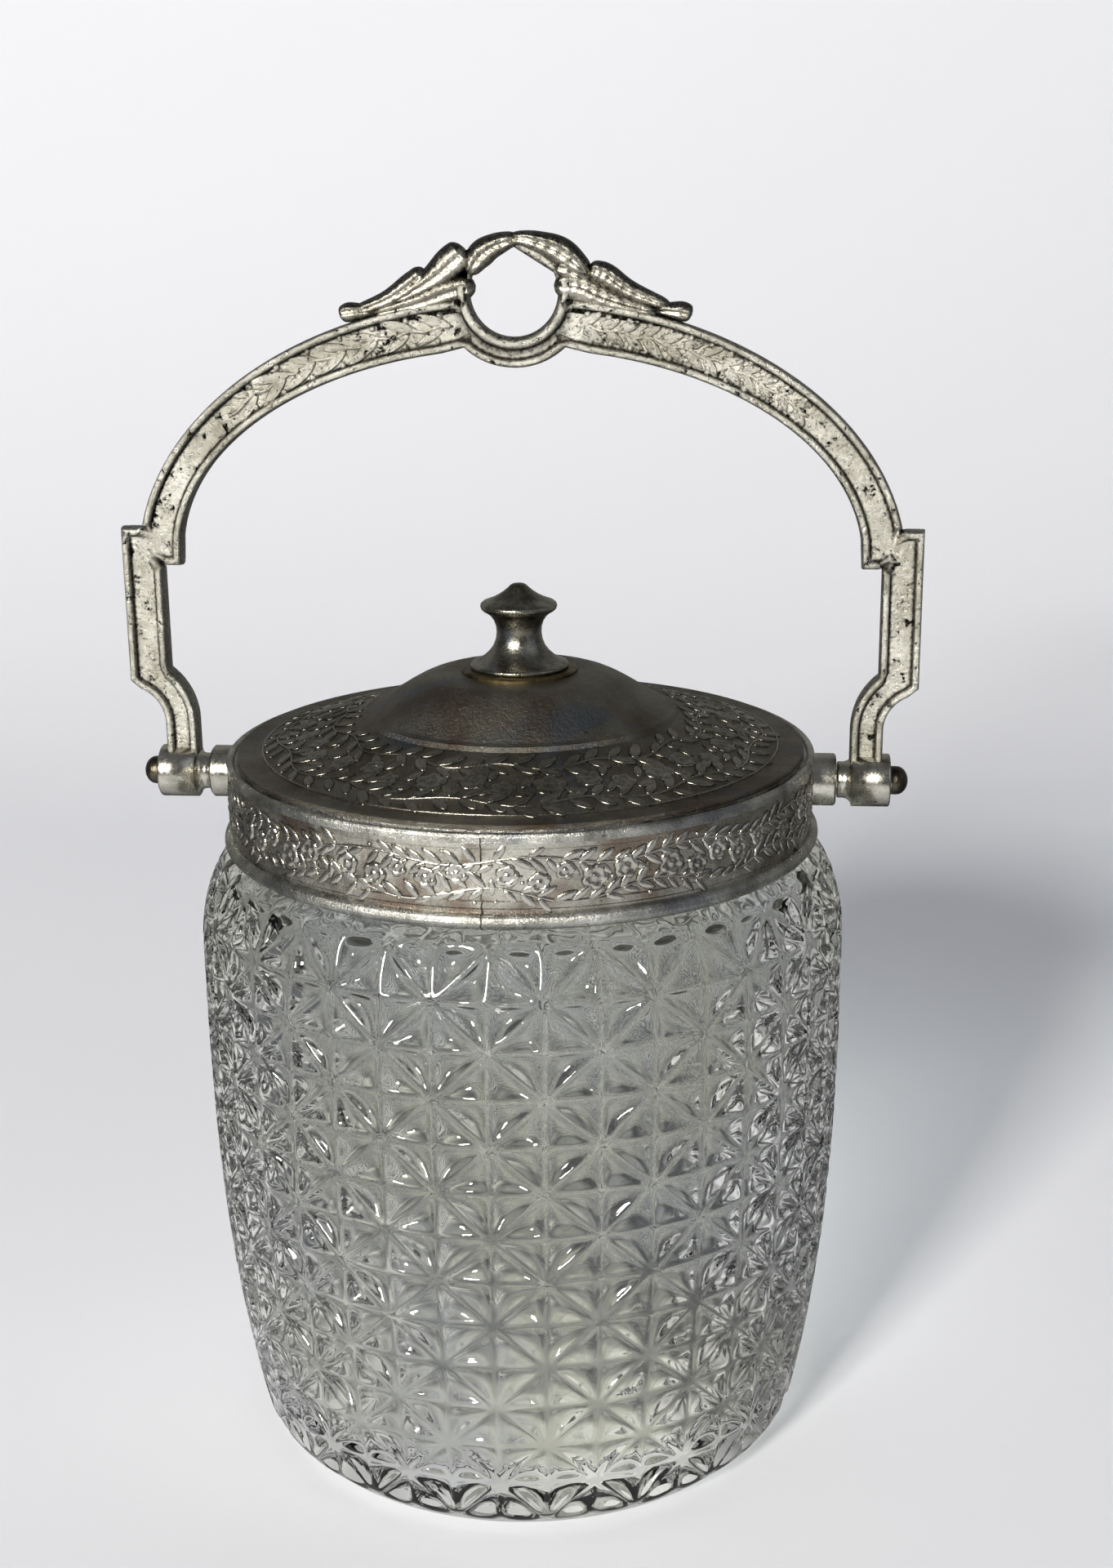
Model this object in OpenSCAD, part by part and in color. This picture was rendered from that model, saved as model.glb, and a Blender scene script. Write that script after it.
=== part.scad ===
// Biscuit jar: pressed glass barrel with a plated collar, a lift-off plated lid and a swinging bail.
// Millimetres. The origin is the centre of the foot, on the surface that the jar stands on.
// +Z is up, +X runs along the two pivots of the bail, and -Y is the front.

/* [Glass jar] */
// Diameter of the glass over its ridges, where it is widest
glass_d = 133; // [126:0.5:139]
// Height at which the glass is widest
widest_z = 110; // [106:0.5:114]
// Diameter of the flat foot
foot_d = 102; // [94:0.5:108]
// Diameter where the heel curve runs into the wall
heel_d = 117; // [112:0.5:122]
// Height of the heel curve
heel_h = 7; // [5:0.5:10]
// Outside diameter of the neck, hidden in the collar
neck_d = 110; // [107:0.5:111]
// Height over which the shoulder turns in to the neck
shoulder_h = 20.5; // [18:0.5:21]
// Thickness of the wall of the barrel
wall = 5; // [3.5:0.25:7]
// Thickness of the neck
neck_wall = 4; // [3:0.25:4.5]
// Thickness of the glass under the biscuits
floor_t = 8; // [6:0.5:12]
// Radius of the curve between the floor and the wall inside
floor_fillet = 12; // [6:0.5:16]
// Depth of the hollow in the underside
kick_up = 1.6; // [0.8:0.1:3]

/* [Pressed lattice] */
// Stars in one row round the jar
stars = 20; // [14:1:26]
// Half rows of stars, from the heel to the shoulder
half_rows = 13; // [9:1:15]
// Height of the lowest row
lattice_z = 4.8; // [3:0.1:6]
// Height of the highest row
lattice_top_z = 126.9; // [122:0.1:127.5]
// Depth of each cell below its ridges
cell_depth = 1.3; // [0.5:0.1:2]

/* [Collar] */
// Outside diameter of the embossed band
band_d = 119.2; // [118.4:0.1:121]
// Thickness of the band
band_t = 0.9; // [0.7:0.1:1.1]
// Height of the embossed band
band_h = 13.2; // [12:0.1:14]
// Radius of the half-round bead at the foot of the collar
bead_r = 1.6; // [1.2:0.1:1.8]
// Height of the middle of the bead
bead_z = 131.3; // [131.2:0.1:132]
// Width of the lip ring at the top of the collar
lip_w = 1.6; // [1.4:0.1:2]
// Height of the lip ring
lip_h = 1.9; // [1.6:0.1:2.4]
// How far the lip stands out past the band
lip_proud = 0.35; // [0.1:0.05:0.8]
// Thickness of the seat that the lid rests on
seat_t = 1.1; // [0.8:0.1:1.5]
// Bore of the seat
seat_bore_d = 103.2; // [102.8:0.1:106]
// Depth of the flange of the seat, down the inside of the band
seat_flange_h = 5; // [3:0.5:8]

/* [Pivots] */
// Height of the pivots of the bail
pivot_z = 141.7; // [141:0.1:142.5]
// Diameter of the boss on the collar
boss_d = 10.7; // [9:0.1:11]
// Distance from the middle of the jar to the end of the boss
boss_end_x = 64.3; // [63.5:0.1:65]
// Diameter of the journal that the bail turns on
journal_d = 4.8; // [4:0.1:5.6]
// Diameter of the thread outside the journal
thread_d = 3.2; // [2.6:0.1:3.6]
// Diameter of the cap nut
cap_d = 5.8; // [5.4:0.1:7]
// Length of the cap nut
cap_h = 3.4; // [3:0.1:5]

/* [Bail] */
// Radial clearance of the bail on its journals
bail_fit = 0.05; // [0.02:0.01:0.1]
// End clearance of the bail on its journals
bail_end_play = 0.3; // [0.2:0.05:0.6]
// Diameter of the barrel of each eye
eye_d = 10.8; // [9.5:0.1:12]
// Length of the barrel of each eye
eye_l = 7.7; // [7.4:0.1:9]
// Diameter of the neck between the boss and the barrel
eye_neck_d = 7.4; // [6.4:0.1:8.4]
// Length of that neck, with its flare
eye_neck_l = 2.9; // [2.4:0.1:4]
// Depth of the bail from front to back, over its ribs
bail_depth = 5.6; // [4.6:0.1:7]
// Thickness of the web between the two channels
web_t = 2.6; // [1.8:0.1:3.4]
// Width of the rib along each edge
rib_w = 1.4; // [1:0.1:1.8]
// Draft of the outer faces, over half the depth
draft = 0.35; // [0.2:0.05:0.6]
// Width of the lower leg
lower_leg_w = 6.7; // [6:0.1:7.5]
// Distance from the middle to the inside of the lower leg
lower_leg_x = 66.9; // [66.8:0.1:67.4]
// Distance from the middle to the inside of the upright
upright_x = 72.2; // [71.5:0.1:73]
// Width of the upright
upright_w = 8.2; // [7.4:0.1:9]
// Height of the inner step, above the pivots
inner_step_h = 43.5; // [40:0.5:46]
// Height of the outer step, above the pivots
outer_step_h = 51.3; // [49:0.1:54]
// Half width of the inside of the arch
arch_in_x = 68.2; // [67:0.1:69]
// Rise of the inside of the arch above its springing
arch_in_rise = 40.9; // [38:0.1:42]
// Height of the springing of the inside, above the pivots
arch_in_h = 45.5; // [44:0.1:47]
// Half width of the outside of the arch
arch_out_x = 77; // [76:0.1:78]
// Rise of the outside of the arch above its springing
arch_out_rise = 53.3; // [51:0.1:55]
// Height of the springing of the outside, above the pivots
arch_out_h = 43.1; // [42:0.1:45]
// Diameter of the hole of the finger ring
ring_hole_d = 17; // [14:0.1:18]
// Slope of the two sides that bring the top of that hole to a point
hole_slope = 32; // [26:1:38]
// Height of the middle of the finger ring, above the pivots
ring_h = 97.2; // [96:0.1:98.5]
// Radius of the lower half of the finger ring, outside
ring_low_r = 14.5; // [13.5:0.1:15]
// Radius of the upper half of the finger ring, outside
ring_top_r = 11.5; // [11:0.1:12.5]
// Width of the rim round the lower half of the hole
rim_w = 1.7; // [1.2:0.1:2.2]
// Thickness of the plate behind the leaves of the crest
crest_t = 3.4; // [2.8:0.1:4]

/* [Lid] */
// Diameter of the lid
lid_d = 115.4; // [114.6:0.1:115.8]
// Thickness of the sheet of the lid
lid_sheet = 0.8; // [0.6:0.05:1]
// Thickness of the hoop under the edge of the lid
hoop_t = 0.7; // [0.5:0.05:1]
// Width of the hoop under the edge
hoop_w = 1.8; // [1.2:0.1:2.4]
// Gap between the lid and the seat it rests on
seat_gap = 0.1; // [0.05:0.05:0.3]
// Diameter of the line inside the plain border of the lid
border_d = 107.6; // [106:0.1:110]
// Diameter of the ring at the foot of the dome
dome_d = 62.4; // [56:0.1:68]
// Height of the foot of the dome above the edge of the lid
slope_h = 7; // [5:0.1:9]
// Height of the top of the dome above its foot
dome_h = 8; // [6:0.1:10]
// Diameter of the flat top of the dome
plateau_d = 28; // [26:0.1:32]
// Outside diameter of the skirt that guides the lid
skirt_d = 100.2; // [98:0.1:100.6]
// Thickness of the skirt
skirt_t = 0.8; // [0.6:0.1:1]
// Depth of the skirt below the edge of the lid
skirt_h = 7; // [5:0.5:10]

/* [Knob] */
// Height of the knob
knob_h = 17.2; // [15:0.1:20]
// Diameter of the foot of the knob
knob_foot_d = 20; // [17:0.1:21]
// Diameter of the waist of the knob
knob_waist_d = 9.2; // [8:0.1:11]
// Diameter of the rim of the knob
knob_rim_d = 15.6; // [13:0.1:18]
// Diameter of the brass washer under the knob
knob_washer_d = 23.5; // [21.5:0.1:25]
// Thickness of the brass washer
knob_washer_t = 0.8; // [0.6:0.1:1]
// Diameter of the screw that holds the knob
knob_screw_d = 3.6; // [3:0.1:4]
// Depth of the screw in the knob
knob_screw_grip = 8; // [6:0.5:10]

/* [Hidden] */
$fn = 96;

glass_r = glass_d / 2;
neck_r = neck_d / 2;
shoulder_in = glass_r - neck_r;
mouth_r = neck_r - neck_wall;
heel_r = heel_d / 2;
foot_r = foot_d / 2;
// How strongly the side swells above the heel, and how square the heel curve is
swell = 2.8;
heel_power = 1.4;

// The outside of the glass over its ridges, at a height
function outside_r(z) =
    z <= heel_h ? foot_r + (heel_r - foot_r) * pow(1 - pow(1 - z / heel_h, heel_power), 1 / heel_power)
  : z <= widest_z ? heel_r + (glass_r - heel_r) * (1 - pow(1 - (z - heel_h) / (widest_z - heel_h), swell))
  : z >= widest_z + shoulder_h ? neck_r
  : neck_r + shoulder_in * sqrt(1 - pow((z - widest_z) / shoulder_h, 2));

band_r = band_d / 2;
band_in_r = band_r - band_t;
band_z = bead_z + bead_r;
band_top_z = band_z + band_h;
lip_r = band_r + lip_proud;
lip_in_r = lip_r - lip_w;
lip_top_z = band_top_z + lip_h;
seat_z = band_top_z + seat_t;
seat_bore_r = seat_bore_d / 2;
neck_top_z = band_top_z - 0.2;
shoulder_top_z = widest_z + shoulder_h;
flange_z = band_top_z - seat_flange_h;

columns = 2 * stars;
half_row = (lattice_top_z - lattice_z) / half_rows;
half_column = 360 / columns;

boss_r = boss_d / 2;
journal_r = journal_d / 2;
thread_r = thread_d / 2;
eye_r = eye_d / 2;
eye_start_x = boss_end_x + bail_end_play;
eye_end_x = eye_start_x + eye_neck_l + eye_l;
journal_end_x = eye_end_x + bail_end_play;
cap_end_x = journal_end_x + cap_h;
thread_gap = 0.02;

ring_z = pivot_z + ring_h;
hole_r = ring_hole_d / 2;

lid_r = lid_d / 2;
lid_z = seat_z + seat_gap;
hoop_top_z = lid_z + hoop_t;
edge_z = hoop_top_z + lid_sheet;
border_r = border_d / 2;
dome_r = dome_d / 2;
plateau_r = plateau_d / 2;
dome_z = edge_z + slope_h;
plateau_z = dome_z + dome_h;
skirt_r = skirt_d / 2;
screw_r = knob_screw_d / 2;
knob_z = plateau_z + knob_washer_t;
screw_gap = 0.1;

function arc(cx, cz, r, a0, a1, steps) =
    [for (i = [0:steps]) let (a = a0 + (a1 - a0) * i / steps) [cx + r * cos(a), cz + r * sin(a)]];
function bezier(p0, p1, p2, p3, steps) =
    [for (i = [0:steps]) let (t = i / steps, s = 1 - t)
        s * s * s * p0 + 3 * s * s * t * p1 + 3 * s * t * t * p2 + t * t * t * p3];
function reversed(p) = [for (i = [len(p) - 1:-1:0]) p[i]];

// ---- glass ----

// One ring of points round the jar
function ring_points(r, z) = [for (i = [0:columns - 1]) [r * sin(i * half_column), -r * cos(i * half_column), z]];
// The middle of cell (i, j), pressed in below its three corners; a side picks the triangle
function cell_point(i, j, side) =
    let (rising = (i + j) % 2 == 1,
         di = rising == (side == 0) ? 2 / 3 : 1 / 3,
         dj = side == 0 ? 1 / 3 : 2 / 3,
         a = (i + di) * half_column,
         z = lattice_z + (j + dj) * half_row,
         r = outside_r(z) - cell_depth)
    [r * sin(a), -r * cos(a), z];

// Heights of the plain rings under and over the lattice
low_rings = [0, lattice_z * 0.35];
high_rings = [(lattice_top_z + shoulder_top_z) / 2, shoulder_top_z, neck_top_z];
ring_heights = concat(low_rings, [for (j = [0:half_rows]) lattice_z + j * half_row], high_rings);
first_row = len(low_rings);
last_row = first_row + half_rows;
ring_count = len(ring_heights);
cells_start = ring_count * columns;

function at(i, k) = k * columns + i % columns;
function fan(a, b, c, m) = [[a, m, b], [b, m, c], [c, m, a]];
function cell_faces(i, j) =
    let (k = first_row + j,
         a = at(i, k), b = at(i + 1, k), c = at(i + 1, k + 1), d = at(i, k + 1),
         m = cells_start + 2 * (j * columns + i),
         rising = (i + j) % 2 == 1)
    rising ? concat(fan(a, b, c, m), fan(a, c, d, m + 1))
           : concat(fan(a, b, d, m), fan(b, c, d, m + 1));
function band_faces(k) = [for (i = [0:columns - 1]) each
    [[at(i, k), at(i + 1, k + 1), at(i + 1, k)], [at(i, k), at(i, k + 1), at(i + 1, k + 1)]]];

module pressed_outside() {
    points = concat(
        [for (z = ring_heights) each ring_points(outside_r(z), z)],
        [for (j = [0:half_rows - 1]) for (i = [0:columns - 1]) for (side = [0, 1]) cell_point(i, j, side)]);
    faces = concat(
        [[for (i = [0:columns - 1]) at(i, 0)]],
        [for (k = [0:first_row - 1]) each band_faces(k)],
        [for (j = [0:half_rows - 1]) for (i = [0:columns - 1]) each cell_faces(i, j)],
        [for (k = [last_row:ring_count - 2]) each band_faces(k)],
        [[for (i = [columns - 1:-1:0]) at(i, ring_count - 1)]]);
    polyhedron(points, faces);
}

// The space for the biscuits: floor curve, wall, shoulder and mouth
module inside_space() {
    wall_heights = [for (i = [0:8]) floor_t + floor_fillet + i * (widest_z - floor_t - floor_fillet) / 8];
    floor_r = outside_r(floor_t + floor_fillet) - wall;
    shoulder = [for (a = [15:15:90])
        [mouth_r + (glass_r - wall - mouth_r) * cos(a), widest_z + (shoulder_h - wall / 2) * sin(a)]];
    rotate_extrude()
    polygon(concat(
        [[0, floor_t]],
        arc(floor_r - floor_fillet, floor_t + floor_fillet, floor_fillet, -90, 0, 6),
        [for (i = [1:8]) [outside_r(wall_heights[i]) - wall, wall_heights[i]]],
        shoulder,
        [[mouth_r, neck_top_z + 1], [0, neck_top_z + 1]]));
}

module glass_jar() {
    color("gainsboro", 0.6)
    difference() {
        pressed_outside();
        inside_space();
        // Hollow of the underside, inside the ring that the jar stands on
        rotate_extrude() polygon([[0, -1], [foot_r - 7, -1], [foot_r - 7, 0], [foot_r - 12, kick_up], [0, kick_up]]);
    }
}

// Plaster that beds the collar on the neck
module neck_bedding() {
    foot_z = shoulder_top_z + 0.2;
    color("linen")
    rotate_extrude()
    polygon([[neck_r, foot_z], [band_in_r, foot_z], [band_in_r, flange_z],
             [band_in_r - band_t, flange_z], [band_in_r - band_t, neck_top_z], [neck_r, neck_top_z]]);
}

// ---- collar ----

module frieze_band() {
    // A narrow fillet borders the embossed field along its top and its foot
    fillet_h = 1.2;
    field_r = band_r - 0.25;
    color("silver")
    rotate_extrude()
    polygon([[band_in_r, band_z], [field_r, band_z], [field_r, band_z + 0.6], [band_r, band_z + 0.9],
             [band_r, band_z + fillet_h + 0.9], [field_r, band_z + fillet_h + 1.1],
             [field_r, band_top_z - fillet_h], [band_r, band_top_z - fillet_h + 0.2],
             [band_r, band_top_z], [band_in_r, band_top_z]]);
}

module foot_bead() {
    color("silver")
    rotate_extrude()
    polygon(concat([[band_in_r, bead_z + bead_r], [band_in_r, bead_z - bead_r * 0.8]],
                   arc(band_r - 0.2, bead_z, bead_r, -90, 90, 10)));
}

module lip_ring() {
    crown = lip_w / 2;
    color("silver")
    rotate_extrude()
    polygon(concat([[lip_in_r, band_top_z], [lip_r, band_top_z]],
                   arc(lip_r - crown, lip_top_z - crown, crown, 0, 180, 8)));
}

module lid_seat() {
    color("silver")
    rotate_extrude()
    polygon([[seat_bore_r, band_top_z], [band_in_r - band_t, band_top_z], [band_in_r - band_t, flange_z],
             [band_in_r, flange_z], [band_in_r, band_top_z], [lip_in_r, band_top_z],
             [lip_in_r, seat_z], [seat_bore_r, seat_z]]);
}

// The solid that the bosses are saddled to
module collar_envelope() {
    rotate_extrude()
    polygon([[0, band_z - 1], [band_r, band_z - 1], [band_r, band_top_z], [lip_r, band_top_z],
             [lip_r, lip_top_z + 1], [0, lip_top_z + 1]]);
}

// Turns a profile of [distance along +X, radius] about the line of the pivots
module turned_on_pivot(side, profile) {
    mirror([side < 0 ? 1 : 0, 0, 0])
    translate([0, 0, pivot_z])
    rotate([0, 90, 0])
    rotate_extrude() polygon([for (p = profile) [p[1], p[0]]]);
}

module trunnion(side) {
    edge = 0.4;
    difference() {
        turned_on_pivot(side, [
            [band_in_r - 8, 0], [band_in_r - 8, boss_r], [boss_end_x - edge, boss_r], [boss_end_x, boss_r - edge],
            [boss_end_x, journal_r], [journal_end_x, journal_r],
            [journal_end_x, thread_r], [cap_end_x - 1.2, thread_r], [cap_end_x - 1.2, 0]]);
        collar_envelope();
    }
}
module trunnion_left() { color("silver") trunnion(-1); }
module trunnion_right() { color("silver") trunnion(1); }

// Round cap nut with a domed end and a blind thread
module cap_nut(side) {
    r = cap_d / 2;
    bore = thread_r + thread_gap;
    skirt = 1.1;
    turned_on_pivot(side, concat(
        [[journal_end_x, bore], [journal_end_x, r]],
        [for (a = [0:15:90]) [journal_end_x + skirt + (cap_h - skirt) * sin(a), r * cos(a)]],
        [[cap_end_x - 1, 0], [cap_end_x - 1, bore]]));
}
module cap_nut_left() { color("dimgray") cap_nut(-1); }
module cap_nut_right() { color("dimgray") cap_nut(1); }

// ---- bail ----

// Each point of a closed outline moved inwards by d, with mitred corners
function inset(p, d) = let (n = len(p)) [for (i = [0:n - 1])
    let (u = p[i] - p[(i + n - 1) % n], v = p[(i + 1) % n] - p[i],
         nu = [-u[1], u[0]] / norm(u), nv = [-v[1], v[0]] / norm(v))
    p[i] + d * (nu + nv) / (1 + nu * nv)];

// The right half of the bail's outline, up its outside and then down its inside
elbow_h = 10.8;
elbow_x = lower_leg_x + lower_leg_w + 7.5;
elbow_out_r = elbow_x - lower_leg_x - lower_leg_w;
elbow_in_r = elbow_x - lower_leg_x;
foot_of_leg = pivot_z + 2;
outer_top_x = arch_out_x * sqrt(1 - pow((outer_step_h - arch_out_h) / arch_out_rise, 2));
// Where the outside of the arch starts, as a turn from its top
outer_turn = asin(outer_top_x / arch_out_x);
ring_low_turn = 47;
elbow_in_turn = acos((elbow_x - upright_x) / elbow_in_r);

function arch_out_z(x) = pivot_z + arch_out_h + arch_out_rise * sqrt(1 - pow(x / arch_out_x, 2));
function arch_in_z(x) = pivot_z + arch_in_h + arch_in_rise * sqrt(1 - pow(x / arch_in_x, 2));
ring_meets_arch = asin((arch_out_z(ring_top_r) - ring_z) / ring_top_r);

outer_side = concat(
    [[lower_leg_x + lower_leg_w, foot_of_leg]],
    arc(elbow_x, pivot_z + elbow_h, elbow_out_r, 180, 112, 5),
    [[upright_x + upright_w, pivot_z + elbow_h + elbow_out_r + 1.2],
     [upright_x + upright_w, pivot_z + outer_step_h],
     [outer_top_x, pivot_z + outer_step_h]],
    [for (i = [1:14]) let (x = arch_out_x * sin(outer_turn + (11 - outer_turn) * i / 14)) [x, arch_out_z(x)]],
    arc(0, ring_z, ring_top_r, ring_meets_arch, 90, 8));
inner_side = concat(
    arc(0, ring_z, ring_low_r, -90, -ring_low_turn, 4),
    [for (i = [1:14]) let (x = arch_in_x * sin(9 + i * 5.4)) [x, arch_in_z(x)]],
    [[arch_in_x, pivot_z + inner_step_h], [upright_x, pivot_z + inner_step_h]],
    arc(elbow_x, pivot_z + elbow_h, elbow_in_r, 180 - elbow_in_turn, 180, 6),
    [[lower_leg_x, foot_of_leg]]);

right_half = concat(inner_side, outer_side);
bail_outline = concat(right_half, [for (q = reversed(right_half)) if (abs(q[0]) > 0.01) [-q[0], q[1]]]);

// A rib that runs along a closed outline: its section is a loop of [inset, depth] points
module rib_along(outline, section) {
    n = len(outline);
    m = len(section);
    points = [for (s = section) each [for (q = inset(outline, s[0])) [q[0], s[1], q[1]]]];
    faces = [for (k = [0:m - 1]) for (i = [0:n - 1])
        let (a = k * n, b = (k + 1) % m * n, j = (i + 1) % n)
        each [[a + i, b + j, b + i], [a + i, a + j, b + j]]];
    polyhedron(points, faces);
}

// A flat plate in the plane of the bail
module plate(outline, thickness) {
    rotate([90, 0, 0]) linear_extrude(thickness, center = true) polygon(outline);
}

// The control points of a cubic curve that passes through four points at even steps
function through(p) = [p[0], (-5 * p[0] + 18 * p[1] - 9 * p[2] + 2 * p[3]) / 6,
                       (2 * p[0] - 9 * p[1] + 18 * p[2] - 5 * p[3]) / 6, p[3]];

// One leaf of the crest: a ridged form along a curved spine of [x, z, half width]
module crest_leaf(spine, half_t) {
    stations = 7;
    sides = 6;
    c = through(spine);
    path = bezier(c[0], c[1], c[2], c[3], stations);
    function along(k) = let (v = path[min(k + 1, stations)] - path[max(k - 1, 0)]) [v[0], v[1]] / norm([v[0], v[1]]);
    points = [for (k = [0:stations])
        let (t = along(k), n = [-t[1], t[0]], w = path[k][2] * (k == 0 ? 0.55 : 1), deep = half_t * (k == 0 ? 0.6 : 1))
        each [for (i = [0:sides - 1]) let (a = (i + 0.5) * 360 / sides)
            [path[k][0] + n[0] * w * cos(a) * 1.15, deep * min(1, 0.5 + w / 3) * sin(a),
             path[k][1] + n[1] * w * cos(a) * 1.15]]];
    last = stations * sides;
    faces = concat(
        [[for (i = [sides - 1:-1:0]) i]],
        [for (k = [0:stations - 1]) for (i = [0:sides - 1])
            let (a = k * sides, b = a + sides, j = (i + 1) % sides)
            each [[a + i, b + j, b + i], [a + i, a + j, b + j]]],
        [[for (i = [0:sides - 1]) last + i]]);
    polyhedron(points, faces);
}

// Spine and half thickness of the leaves on the right of the ring's middle, from their blunt ends
crest_leaves = [
    [[[-0.5, 10.1, 1.3], [3.8, 9.2, 2.0], [8.0, 6.8, 2.3], [10.6, 3.4, 1.2]], 3.2],
    [[[10.4, 7.6, 2.3], [14.0, 4.4, 2.6], [18.0, 1.2, 1.8], [24.5, -2.0, 0.8]], 3.0],
    [[[17.0, 4.2, 1.5], [20.6, 1.4, 1.9], [25.0, -1.2, 1.4], [31.2, -3.2, 0.8]], 2.7],
    [[[8.4, 1.0, 2.0], [13.5, 0.2, 2.4], [19.5, -1.9, 1.7], [28.0, -4.2, 0.8]], 2.9],
    [[[34.0, -4.4, 1.4], [32.3, -3.8, 1.8], [30.4, -3.5, 1.5], [27.8, -3.4, 1.0]], 2.7],
];
// The plate behind them, from the ring out along the arch
crest_plate = [[7.6, -3.5], [31.8, -7.0], [31.4, -4.6], [24, -1.8], [19.6, 1.4], [16.4, 4.0],
               [13.4, 5.0], [10.8, 7.2], [7.6, 8.6]];

module bail_eye(side) {
    flare = [for (i = [0:4]) let (a = i * 22.5)
        [eye_start_x + 1 + (eye_neck_l - 1) * sin(a), eye_neck_d / 2 + (eye_r - eye_neck_d / 2) * (1 - cos(a))]];
    edge = 0.4;
    turned_on_pivot(side, concat(
        [[eye_start_x, 0], [eye_start_x, eye_neck_d / 2]], flare,
        [[eye_end_x - edge, eye_r], [eye_end_x, eye_r - edge], [eye_end_x, 0]]));
}

// The finger hole: round below, with two straight sides that meet in a point at the top
module finger_hole() {
    peak = hole_r - 0.1;
    side_h = (hole_r + 1) * tan(hole_slope);
    translate([0, 0, ring_z])
    intersection() {
        rotate([90, 0, 0]) cylinder(r = hole_r, h = bail_depth * 2, center = true);
        plate([[-hole_r - 1, -hole_r - 1], [hole_r + 1, -hole_r - 1], [hole_r + 1, peak - side_h], [0, peak],
               [-hole_r - 1, peak - side_h]], bail_depth * 3);
    }
}

// Rim round the lower half of the finger hole
module finger_rim() {
    rim_depth = bail_depth - 0.5;
    reach = hole_r + rim_w;
    translate([0, 0, ring_z])
    difference() {
        rotate([90, 0, 0]) cylinder(r = reach, h = rim_depth, center = true);
        translate([-reach - 1, -bail_depth, 2.4]) cube([2 * reach + 2, 2 * bail_depth, reach]);
    }
}

module bail() {
    channel_slope = 0.5;
    half_depth = bail_depth / 2;
    // The foot of the rib's inner slope ends inside the web
    rib_root = web_t / 2 - 0.4;
    root_inset = draft + rib_w + channel_slope;
    color("silver")
    difference() {
        union() {
            plate(inset(bail_outline, draft + rib_w * 0.6), web_t);
            rib_along(bail_outline, [
                [0, 0], [draft, half_depth], [draft + rib_w, half_depth], [root_inset, rib_root],
                [root_inset, -rib_root], [draft + rib_w, -half_depth], [draft, -half_depth]]);
            finger_rim();
            for (side = [1, -1]) {
                bail_eye(side);
                mirror([side < 0 ? 1 : 0, 0, 0])
                translate([0, 0, ring_z]) {
                    plate(crest_plate, crest_t);
                    for (leaf = crest_leaves)
                        crest_leaf(leaf[0], leaf[1]);
                }
            }
        }
        finger_hole();
        for (side = [1, -1])
            turned_on_pivot(side, [[eye_start_x - 2, 0], [eye_start_x - 2, journal_r + bail_fit],
                                   [eye_end_x + 2, journal_r + bail_fit], [eye_end_x + 2, 0]]);
    }
}

// ---- lid ----

// The top of the sheet, from the screw hole out to the edge
slope_run = border_r - dome_r;
border_rise = 0.15;
lid_top = concat(
    [[screw_r + screw_gap, plateau_z]],
    bezier([plateau_r, plateau_z], [plateau_r + 5.5, plateau_z], [dome_r - 9, dome_z + 5.6],
           [dome_r - 1.2, dome_z + 0.7], 8),
    [[dome_r - 0.4, dome_z + 0.4], [dome_r + 0.3, dome_z + 0.4], [dome_r + 1, dome_z - 0.5]],
    [[border_r - 0.6, edge_z + border_rise], [border_r, edge_z - 0.05], [border_r + 0.6, edge_z],
     [lid_r - 0.3, edge_z], [lid_r, edge_z - 0.3]]);
function lid_under_z(r) =
    edge_z - lid_sheet + border_rise
    + max(0, border_r - 0.6 - r) * (slope_h - 0.5 - border_rise) / (slope_run - 1.6);

module lid_cover() {
    color("dimgray")
    rotate_extrude()
    polygon(concat(lid_top, [[lid_r, hoop_top_z]],
        reversed([for (q = lid_top) if (q[0] < border_r - 0.5) [q[0], q[1] - lid_sheet]])));
}

module lid_edge_hoop() {
    color("gray")
    rotate_extrude() translate([lid_r - hoop_w, lid_z]) square([hoop_w, hoop_t]);
}

module lid_skirt() {
    in_r = skirt_r - skirt_t;
    color("gray")
    rotate_extrude()
    polygon([[in_r, lid_z - skirt_h], [skirt_r, lid_z - skirt_h], [skirt_r, lid_under_z(skirt_r)],
             [in_r, lid_under_z(in_r)]]);
}

module knob() {
    foot_r = knob_foot_d / 2;
    waist_r = knob_waist_d / 2;
    rim_r = knob_rim_d / 2;
    foot_t = 1.0;
    waist_z = knob_z + knob_h * 0.42;
    rim_z = knob_z + knob_h * 0.68;
    top_z = knob_z + knob_h;
    bore = screw_r + thread_gap;
    color("dimgray")
    rotate_extrude()
    polygon(concat(
        [[bore, knob_z], [foot_r, knob_z], [foot_r, knob_z + foot_t]],
        bezier([foot_r - 0.4, knob_z + foot_t + 0.1], [waist_r + 1.6, knob_z + 3],
               [waist_r, waist_z - 1.6], [waist_r, waist_z], 7),
        bezier([waist_r, waist_z], [waist_r, waist_z + 1.8], [rim_r - 1.8, rim_z - 2.2],
               [rim_r, rim_z - 0.7], 6),
        arc(rim_r - 0.7, rim_z, 0.7, -30, 70, 4),
        bezier([rim_r - 1.4, rim_z + 1.0], [rim_r * 0.45, rim_z + 1.9], [2.2, top_z - 1.4],
               [0.9, top_z - 0.1], 6),
        [[0, top_z], [0, knob_z + knob_screw_grip + 0.5], [bore, knob_z + knob_screw_grip + 0.5]]));
}

module knob_washer() {
    color("darkgoldenrod")
    translate([0, 0, plateau_z])
    rotate_extrude()
    polygon([[screw_r + screw_gap, 0], [knob_washer_d / 2, 0], [knob_washer_d / 2, knob_washer_t * 0.6],
             [knob_washer_d / 2 - 0.4, knob_washer_t], [screw_r + screw_gap, knob_washer_t]]);
}

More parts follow.
